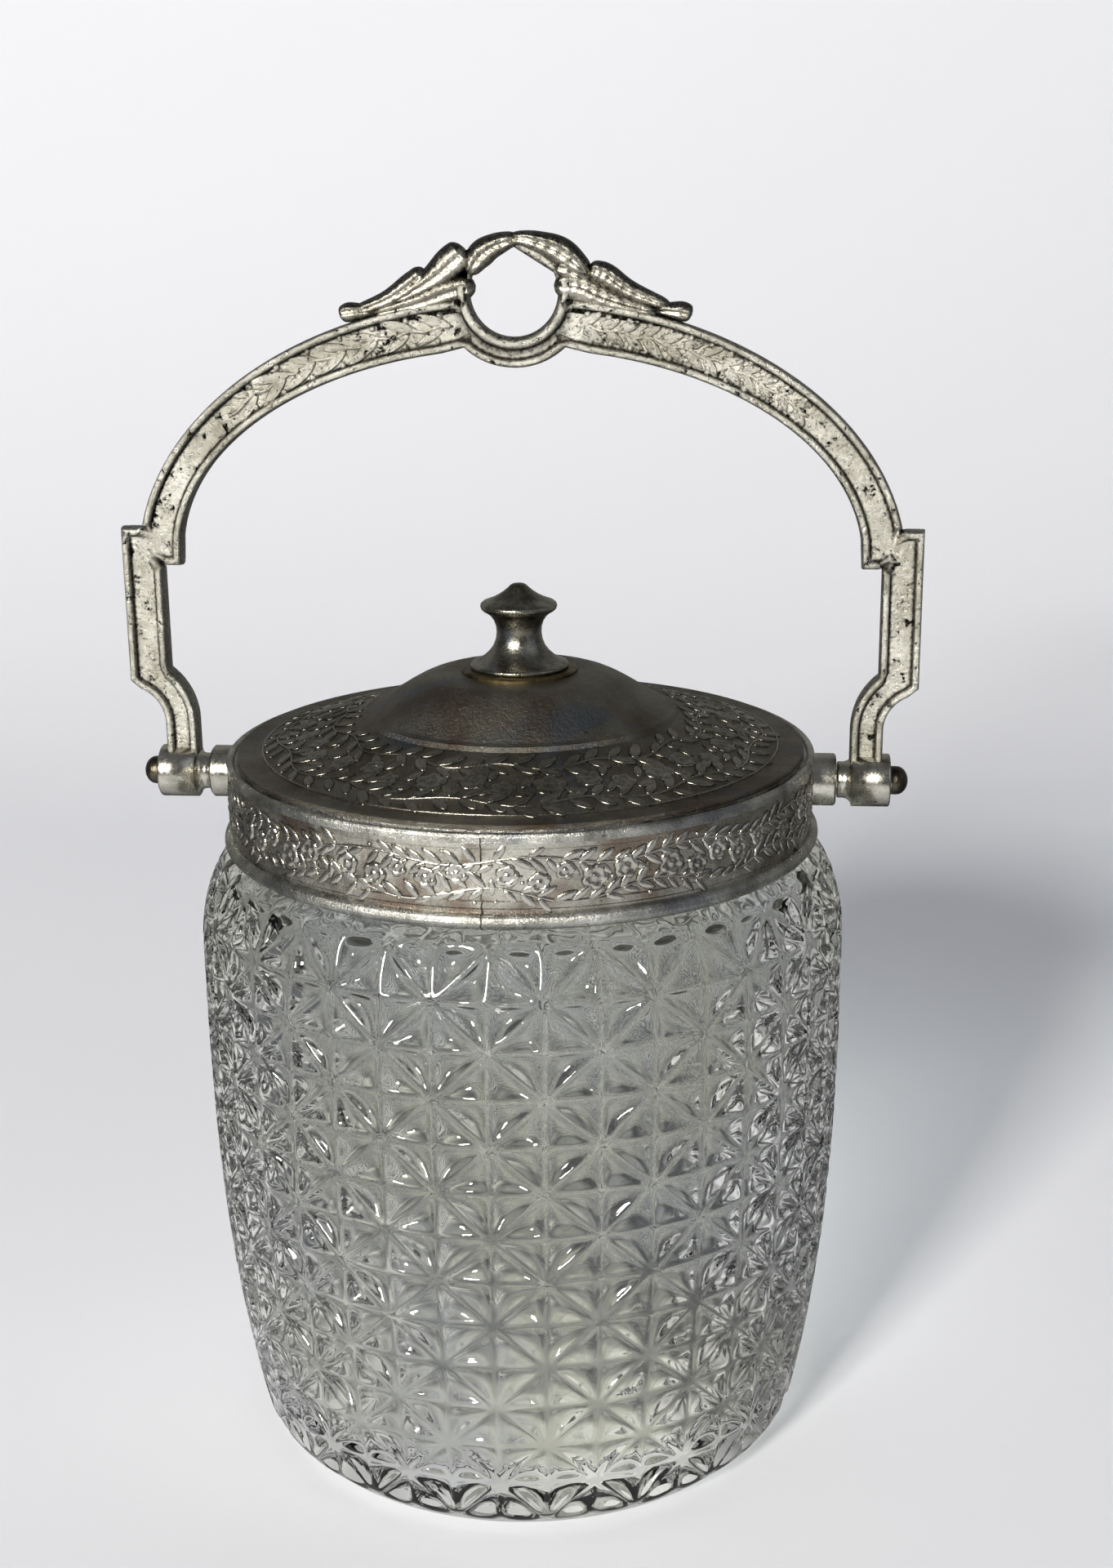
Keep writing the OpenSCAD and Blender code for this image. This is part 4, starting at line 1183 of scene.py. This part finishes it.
size = add(set_motifs, "ShaderNodeMath", {0: given["Size"], 1: chance}, operation="MULTIPLY")
scale = add(set_motifs, "ShaderNodeVectorMath", {0: scale, "Scale": size}, operation="SCALE")
motif = add(set_motifs, "GeometryNodeObjectInfo", {"Object": given["Motif"]}).outputs["Geometry"]
copies = add(
    set_motifs, "GeometryNodeInstanceOnPoints",
    {"Points": given["Geometry"], "Instance": motif, "Rotation": turn, "Scale": scale},
)
whole = add(set_motifs, "GeometryNodeRealizeInstances", {"Geometry": copies})
dressed = add(
    set_motifs, "GeometryNodeSetMaterial", {"Geometry": whole, "Material": given["Finish"]}
)
add(set_motifs, "NodeGroupOutput", {"Geometry": dressed})

draw_stems = new_tree("draw_stems", {
    "Radius": ("NodeSocketFloat", 0.3 * MM),
    "Sides": ("NodeSocketInt", 6),
    "Finish": ("NodeSocketMaterial", None),
})
given = add(draw_stems, "NodeGroupInput").outputs
lines = add(draw_stems, "GeometryNodeMeshToCurve", {"Mesh": given["Geometry"]})
ring = add(
    draw_stems, "GeometryNodeCurvePrimitiveCircle",
    {"Resolution": given["Sides"], "Radius": given["Radius"]},
)
tubes = add(
    draw_stems, "GeometryNodeCurveToMesh", {"Curve": lines, "Profile Curve": ring, "Fill Caps": True}
)
tubes = add(
    draw_stems, "GeometryNodeStoreNamedAttribute", {"Geometry": tubes, "Name": "worn", "Value": 0.8},
    data_type="FLOAT", domain="POINT",
)
whole = add(draw_stems, "GeometryNodeRealizeInstances", {"Geometry": tubes})
dressed = add(
    draw_stems, "GeometryNodeSetMaterial", {"Geometry": whole, "Material": given["Finish"]}
)
add(draw_stems, "NodeGroupOutput", {"Geometry": dressed})
print("tree nodes:", len(set_motifs.nodes), len(draw_stems.nodes))

# %% [markdown]
# ## From a flat drawing to the metal
#
# A pattern is easiest to lay out flat. Each surface then gives, for a flat place, the point
# on the metal and three directions: along, up and out. The band is a cylinder, the slope of
# the lid a cone, and each face of the bail is a strip that follows the middle of the arch.

# %% Surfaces that carry a pattern
BAND_FIELD_R = 59.35
LID_EDGE_Z, LID_BORDER_R, LID_DOME_R, LID_SLOPE_H = 148.8, 53.8, 31.2, 7.0
# How far the slope stays from the border and the dome, and how high it starts over the border
SLOPE_GAP_OUT, SLOPE_GAP_IN, SLOPE_START_H, SLOPE_LOSS_H = 0.6, 1, 0.15, 0.5
# The arch's direction is taken between two places this far apart
NEARBY = 0.05


def on_band(u, v):
    """u in millimetres round the band from its front, v in millimetres of height."""
    a = u / BAND_FIELD_R
    out = Vector((math.sin(a), -math.cos(a), 0))
    along = Vector((math.cos(a), math.sin(a), 0))
    return out * BAND_FIELD_R + Vector((0, 0, v)), along, Vector((0, 0, 1)), out


def on_lid(u, v):
    """u in degrees round the lid from its front, v is the radius in millimetres."""
    a = math.radians(u)
    foot_r = LID_BORDER_R - SLOPE_GAP_OUT
    slope = (LID_SLOPE_H - SLOPE_LOSS_H - SLOPE_START_H) / (foot_r - LID_DOME_R - SLOPE_GAP_IN)
    z = LID_EDGE_Z + SLOPE_START_H + (foot_r - v) * slope
    radial = Vector((math.sin(a), -math.cos(a), 0))
    up = (-radial + Vector((0, 0, slope))).normalized()
    along = Vector((math.cos(a), math.sin(a), 0))
    return radial * v + Vector((0, 0, z)), along, up, along.cross(up)


def on_bail(face):
    """The strip on the front (face -1) or back (face 1): u is a signed distance along x."""

    def place(u, v):
        middle = arch_middle(u)
        along = Vector((NEARBY, 0, arch_middle(u + NEARBY) - middle)).normalized()
        up = Vector((-along.z, 0, along.x))
        return Vector((u, face * CHANNEL, middle)) + up * v, along, up, Vector((0, face, 0))

    return place


# (height, radius) of the collar's outside, from the bead up
COLLAR_PROFILE = [
    (129.7, 59.9), (130.1, 60.4), (130.7, 60.9), (131.3, 61.05), (131.9, 60.9), (132.5, 60.4),
    (132.9, 59.75), (133.5, 59.45), (133.8, 59.66), (135.0, 59.66), (135.3, 59.42), (144.8, 59.42),
    (145.1, 59.66), (146.1, 59.75), (146.5, 59.98), (147.3, 59.98),
]


def on_collar(u, v):
    """Like on_band, but over the bead, the fillets and the foot of the lip as well."""
    _, along, up, out = on_band(u, v)
    radius = float(np.interp(v, *zip(*COLLAR_PROFILE)))
    return out * radius + Vector((0, 0, v)), along, up, out


def finish_garland(name, mesh, tree, inputs, body):
    """Runs a tree on a garland's places or lines, and gives the result its body."""
    made = bake(show(name, mesh), tree, inputs)
    made.data.shade_smooth()
    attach(made, body)
    print(name, "faces:", len(made.data.polygons))


def set_copies(name, motif, finish, surface, places, body, height):
    """Sets one motif at (u, v, degrees, length, breadth) on a surface, as one piece."""
    points, turns, scales = [], [], []
    for u, v, degrees, length, breadth in places:
        at, along, up, out = surface(u, v)
        a = math.radians(degrees)
        x_axis = math.cos(a) * along + math.sin(a) * up
        y_axis = out.cross(x_axis)
        points.append(at * MM)
        turns += list(Matrix((x_axis, y_axis, out)).transposed().to_euler())
        scales += [length, breadth, height]
    mesh = bpy.data.meshes.new(name)
    mesh.from_pydata(points, [], [])
    for key, values in (("turn", turns), ("scale", scales)):
        mesh.attributes.new(key, "FLOAT_VECTOR", "POINT").data.foreach_set("vector", values)
    inputs = {"Motif": motif, "Size": 1.0, "Spread": 0.12, "Seed": 3, "Finish": finish}
    finish_garland(name, mesh, set_motifs, inputs, body)


def set_stems(name, finish, surface, lines, body, radius, lift=0.02):
    """Sweeps stems along lines of flat (u, v) places, as one piece, lift mm off the surface."""
    points, edges = [], []
    for line in lines:
        for k, (u, v) in enumerate(line):
            at, _, _, out = surface(u, v)
            if k:
                edges.append((len(points) - 1, len(points)))
            points.append((at + out * lift) * MM)
    mesh = bpy.data.meshes.new(name)
    mesh.from_pydata(points, edges, [])
    inputs = {"Radius": radius * MM, "Sides": 6, "Finish": finish}
    finish_garland(name, mesh, draw_stems, inputs, body)


def is_clear(u, v, places, least):
    """Whether a flat place is at least this far from all the places."""
    return all(math.hypot(u - a, v - b) >= least for a, b, *_ in places)


# %% [markdown]
# ## The garland on the collar
#
# Twelve clusters of roses go round the band. Two vines run through them, one high and one
# low, with a pair of leaves every few millimetres. The pattern turns its direction at the
# seam in front, where the ends of the strip meet.

# %% Band layout
GARLANDS = 12
BAND_LOW, BAND_HIGH = 134.2, 144.6
# Height and swing of the upper vine and of the lower one
VINES = ((142.6, 0.9), (136.2, 1.4))
LEAF_PAIRS = 10
LEAF_BREADTH = 3.7
# (distance from the start of a garland, height, size) of its roses
ROSES = (
    (3.4, 139.7, 5.3), (9.2, 138.6, 4.8), (13.9, 140.6, 4.6), (19.4, 139.0, 5.4), (25.3, 140.4, 4.8),
)
pitch = 2 * math.pi * BAND_FIELD_R / GARLANDS
chance = np.random.default_rng(11)
band_leaf_places, band_rose_places, band_bud_places, band_stem_lines = [], [], [], []
for g in range(GARLANDS):
    start = (g - GARLANDS / 2) * pitch
    way = 1 if g >= GARLANDS / 2 else -1
    for low in (0, 1):
        vine_z, swing = VINES[low]
        line = []
        for k in range(33):
            phase = 2 * math.pi * (k / 32 + 0.25 * low)
            line.append((start + k / 32 * pitch, vine_z + swing * math.sin(phase)))
        band_stem_lines.append(line)
        for k in range(LEAF_PAIRS):
            s = (k + 0.5 * low + 0.3) / LEAF_PAIRS
            phase = 2 * math.pi * (s + 0.25 * low)
            u, v = start + s * pitch, vine_z + swing * math.sin(phase)
            slope = math.degrees(math.atan(swing * math.cos(phase) * 2 * math.pi / pitch))
            for side in (1, -1):
                lean = slope + side * (36 + chance.uniform(-10, 10))
                length = chance.uniform(3.8, 5.2)
                at_u = u + way * 0.5 * length * math.cos(math.radians(lean))
                at_v = v + 0.5 * length * math.sin(math.radians(lean))
                if BAND_LOW < at_v < BAND_HIGH:
                    turned = lean if way > 0 else 180 - lean
                    band_leaf_places.append((at_u, at_v, turned, length, LEAF_BREADTH))
    for du, v, across in ROSES:
        v += chance.uniform(-0.3, 0.3)
        band_rose_places.append((start + du, v, chance.uniform(0, 72), across, across))
    # Loose leaves, and then buds, fill what is still bare
    for _ in range(60):
        u, v = start + chance.uniform(0, pitch), chance.uniform(136.8, 142.2)
        if is_clear(u, v, band_rose_places, 3.1) and is_clear(u, v, band_leaf_places, 2.0):
            band_leaf_places.append((u, v, chance.uniform(0, 360), 3.6, 3.4))
    for _ in range(40):
        u, v = start + chance.uniform(0, pitch), chance.uniform(134.6, 144.4)
        others = band_leaf_places + band_bud_places
        if is_clear(u, v, band_rose_places, 3.0) and is_clear(u, v, others, 1.6):
            band_bud_places.append((u, v, 0, 1.0, 1.0))

for part, motif, places, height in (
    ("band_leaves", leaf, band_leaf_places, 2.3),
    ("band_roses", rose, band_rose_places, 3.2),
    ("band_buds", bud, band_bud_places, 1.3),
):
    set_copies(part, motif, collar_relief, on_band, places, "jar", height)
set_stems("band_stems", collar_relief, on_band, band_stem_lines, "jar", 0.3)
seam = [(-1.3 + 0.12 * math.sin(2.3 * k), z) for k, (z, _) in enumerate(COLLAR_PROFILE)]
set_stems("band_seam", nut_plate, on_collar, [seam], "jar", 0.14, lift=-0.03)

# %% [markdown]
# ## The sprays on the lid
#
# The slope between the dome and the plain border has sprays of the same plants, lower and
# softer than on the band, because the sheet is thicker there and fingers have worn it. A fine
# raised line parts them from the border.

# %% Lid layout
SPRAYS = 12
SPRAY_SWING = 1.1
RING_LINE_R = 52.5
# Radius and number of leaf pairs of the inner stem of a spray and of the outer one
SPRAY_STEMS = ((37.0, 4), (48.6, 5))
# (share of the spray, radius, size) of its roses, and (share, radius, turn) of its loose leaves
SPRAY_ROSES = ((0.2, 43.2, 6.4), (0.55, 41.9, 5.4), (0.82, 44.2, 5.0))
LOOSE_LEAVES = (
    (0.02, 42.0, 60), (0.38, 45.4, 140), (0.99, 46.0, 20), (0.7, 45.2, 30), (0.72, 39.8, -110),
)
chance = np.random.default_rng(23)
lid_leaf_places, lid_rose_places, lid_stem_lines = [], [], []
for g in range(SPRAYS):
    start = 360 * g / SPRAYS + 7
    for low in (0, 1):
        base_r, pairs = SPRAY_STEMS[low]
        line = []
        for k in range(17):
            wave = math.sin(2 * math.pi * (k / 16 + 0.3 * low))
            line.append((start + k / 16 * 360 / SPRAYS, base_r + SPRAY_SWING * wave))
        lid_stem_lines.append(line)
        for k in range(pairs):
            s = (k + 0.5) / pairs
            r = base_r + SPRAY_SWING * math.sin(2 * math.pi * (s + 0.3 * low))
            for side in (1, -1):
                lean = side * (40 + chance.uniform(-9, 9))
                length = chance.uniform(4.9, 6.2)
                at_r = r - 0.5 * length * math.sin(math.radians(lean))
                turn = math.degrees(0.5 * length * math.cos(math.radians(lean)) / r)
                at_u = start + s * 360 / SPRAYS + turn
                lid_leaf_places.append((at_u, at_r, lean, length, 5.6))
    for part, r, across in SPRAY_ROSES:
        u = start + part * 360 / SPRAYS
        lid_rose_places.append((u, r, chance.uniform(0, 72), across, across))
    for part, r, turned in LOOSE_LEAVES:
        u = start + part * 360 / SPRAYS
        lid_leaf_places.append((u, r, turned + chance.uniform(-15, 15), 4.6, 5.0))
lid_stem_lines.append([(5 * k, RING_LINE_R) for k in range(73)])

set_copies("lid_leaves", leaf, lid_relief, on_lid, lid_leaf_places, "lid", 1.7)
set_copies("lid_roses", rose, lid_relief, on_lid, lid_rose_places, "lid", 2.2)
set_stems("lid_stems", lid_relief, on_lid, lid_stem_lines, "lid", 0.26)

# %% [markdown]
# ## The leaves on the bail
#
# In the channel of the arch the leaves lie in pairs on a stem that starts at the finger ring,
# with berries between them. They are cast, so they are fatter than the stamped ones.

# %% Bail layout
# By side: length of the leaves, distance between pairs, and how far a leaf leans from the stem
BAIL_LEAVES = {1: (5.2, 4.0, 31), -1: (8.0, 6.6, 20)}
# Distances from the middle of the arch along x
STEM_START, STEM_RUN, LEAVES_START, LEAVES_END = 12.5, 44.5, 12.2, 54.5
bail_leaf_places, bail_berry_places, bail_stem_lines = [], [], []
chance = np.random.default_rng(5)
for side in (1, -1):
    leaf_l, spacing, leaning = BAIL_LEAVES[side]
    bail_stem_lines.append(
        [(side * (STEM_START + STEM_RUN * k / 40), 0.35 * math.sin(1.1 * k)) for k in range(41)]
    )
    u = LEAVES_START
    while u < LEAVES_END:
        # Millimetres along the arch for each one along x
        per_u = math.sqrt(1 + ((arch_middle(u + 0.5) - arch_middle(u)) / 0.5) ** 2)
        small = 1.0 if u < 46 else 0.8
        for up in (1, -1):
            length = leaf_l * small * chance.uniform(0.9, 1.1)
            lean = up * (leaning + chance.uniform(-5, 5))
            reach = 0.5 * length * math.cos(math.radians(lean))
            at_u = u + (reach + (1.1 if up < 0 else 0)) / per_u
            at_v = 0.5 * length * math.sin(math.radians(lean))
            turned = lean if side > 0 else 180 - lean
            bail_leaf_places.append((side * at_u, at_v, turned, length, 5.0 * small))
            berry_u = u + (1.9 if up > 0 else 3.0) / per_u
            bail_berry_places.append((side * berry_u, up * 2.45 * small, 0, 1.4, 1.4))
            if side > 0:
                bail_berry_places.append((berry_u - 1.2 / per_u, up * 1.0 * small, 0, 1.0, 1.0))
        u += spacing / per_u

for face, end in ((-1, "_front"), (1, "_back")):
    strip = on_bail(face)
    for part, motif, places, height in (
        ("bail_leaves", leaf, bail_leaf_places, 3.6), ("bail_berries", bud, bail_berry_places, 2.6)
    ):
        set_copies(part + end, motif, bail_plate, strip, places, "bail", height)
    set_stems("bail_stems" + end, bail_plate, strip, bail_stem_lines, "bail", 0.42)

# %% [markdown]
# ## The studio
#
# A pale sweep of card stands behind and under the jar, so there is no line at the horizon.
# One soft lamp on the left and in front does most of the work, as a window would. A much
# weaker one on the right opens the shadows. The sweep shows itself a little brighter to the
# camera, to metal and to glass, which keeps it pale without more light on the jar. Metal sees
# a painted reflection in it: a bright pool of light on the floor in front of the jar, and dark
# beyond it. Glass sees through itself the dark and light patches of a painted room. These
# painted reflections give metal and glass their contrast.

# %% Sweep, lamps and sky
def sweep_finish():
    """Pale card, with its own look for the camera, and painted reflections for shiny rays."""
    material, tree, place = new_material("pale_card")
    card = add(tree, "ShaderNodeBsdfDiffuse", {"Color": colour("#e9ecf3")})
    # A painted room of dark and light patches, which glass sees through itself
    painted_room = add(
        tree, "ShaderNodeTexNoise",
        {"Vector": place, "Scale": per_mm(110), "Detail": 2.0, "Distortion": 0.6},
    )
    painted_room = add(
        tree, "ShaderNodeValToRGB",
        {"Fac": painted_room},
        stops=[(0.36, colour("#56575b")), (0.5, colour("#c0bfbc")), (0.6, colour("#fffefa"))],
    )
    path = add(tree, "ShaderNodeLightPath").outputs
    away = add(
        tree, "ShaderNodeVectorMath", {0: place, 1: (-0.05, -0.55, 0.0)}, operation="DISTANCE"
    )
    away = add(tree, "ShaderNodeMath", {0: away, 1: 0.5}, operation="MULTIPLY")
    # A painted pool of light on the floor in front of the jar, dark beyond it, for metal to mirror
    painted_light_pool = add(
        tree, "ShaderNodeValToRGB",
        {"Fac": away},
        stops=[(0.2, colour("#ffffff")), (0.33, colour("#232221")), (0.62, colour("#7a7974"))],
    )
    painted_room = add(
        tree, "ShaderNodeMix",
        {"Factor": path["Is Transmission Ray"], "A": painted_light_pool, "B": painted_room}, data_type="RGBA",
    )
    pale = add(tree, "ShaderNodeEmission", {"Color": colour("#f6f8ff"), "Strength": 1.0})
    seen = add(tree, "ShaderNodeEmission", {"Color": painted_room, "Strength": 1.0})
    shiny = add(
        tree, "ShaderNodeMath",
        {0: path["Is Glossy Ray"], 1: path["Is Transmission Ray"]}, operation="MAXIMUM",
    )
    camera_share = add(
        tree, "ShaderNodeMath", {0: path["Is Camera Ray"], 1: 0.1}, operation="MULTIPLY"
    )
    shiny_share = add(tree, "ShaderNodeMath", {0: shiny, 1: 0.93}, operation="MULTIPLY")
    mixed = add(tree, "ShaderNodeMixShader", {0: camera_share, 1: card, 2: pale})
    mixed = add(tree, "ShaderNodeMixShader", {0: shiny_share, 1: mixed, 2: seen})
    add(tree, "ShaderNodeOutputMaterial", {"Surface": mixed})
    return material


def build_sweep():
    """The sweep's points and faces, in millimetres: the floor, a quarter bend, and the wall."""
    half_width, front, back, height, bend = 1600, -1200, 900, 1500, 500
    profile = [(front, 0), (back - bend, 0)]
    for step in range(1, 13):
        a = math.pi / 2 * step / 12
        profile.append((back - bend + bend * math.sin(a), bend * (1 - math.cos(a))))
    profile.append((back, height))
    points = [(x, y, z) for y, z in profile for x in (-half_width, half_width)]
    faces = [(2 * k, 2 * k + 1, 2 * k + 3, 2 * k + 2) for k in range(len(profile) - 1)]
    return points, faces


sweep = make_piece("sweep", *build_sweep(), sweep_finish())


def add_lamp(name, at, aim, size, power, tint):
    """A square soft lamp; places in metres, power in watts."""
    data = bpy.data.lights.new(name, "AREA")
    data.size = size
    data.energy = power
    data.color = colour(tint)[:3]
    made = show(name, data)
    made.location = at
    made.rotation_euler = (Vector(aim) - Vector(at)).to_track_quat("-Z", "Y").to_euler()


add_lamp("window", (-0.86, -2.17, 1.1), (0, 0, 0.13), 0.42, 95.0, "#fffaf2")
add_lamp("fill", (0.9, -0.35, 0.6), (0, 0, 0.12), 0.8, 0.7, "#eef3ff")

world = bpy.data.worlds.new("studio_air")
world.use_nodes = True
air = world.node_tree
air.nodes.clear()
# The sky shows stronger in reflections than in the light that it casts, as a painted reflection; the
# camera sees it pale
path = add(air, "ShaderNodeLightPath").outputs
strength = add(
    air, "ShaderNodeMath", {0: path["Is Glossy Ray"], 1: 0.38, 2: 0.1}, operation="MULTIPLY_ADD"
)
strength = add(
    air, "ShaderNodeMath", {0: strength, 1: path["Is Camera Ray"]}, operation="MAXIMUM"
)
tone = add(
    air, "ShaderNodeMix",
    {"Factor": path["Is Camera Ray"], "A": colour("#8f9094"), "B": colour("#ededf0")}, data_type="RGBA",
)
sky = add(air, "ShaderNodeBackground", {"Color": tone, "Strength": strength})
add(air, "ShaderNodeOutputWorld", {"Surface": sky})
bpy.context.scene.world = world
bpy.context.scene.view_settings.view_transform = "Standard"
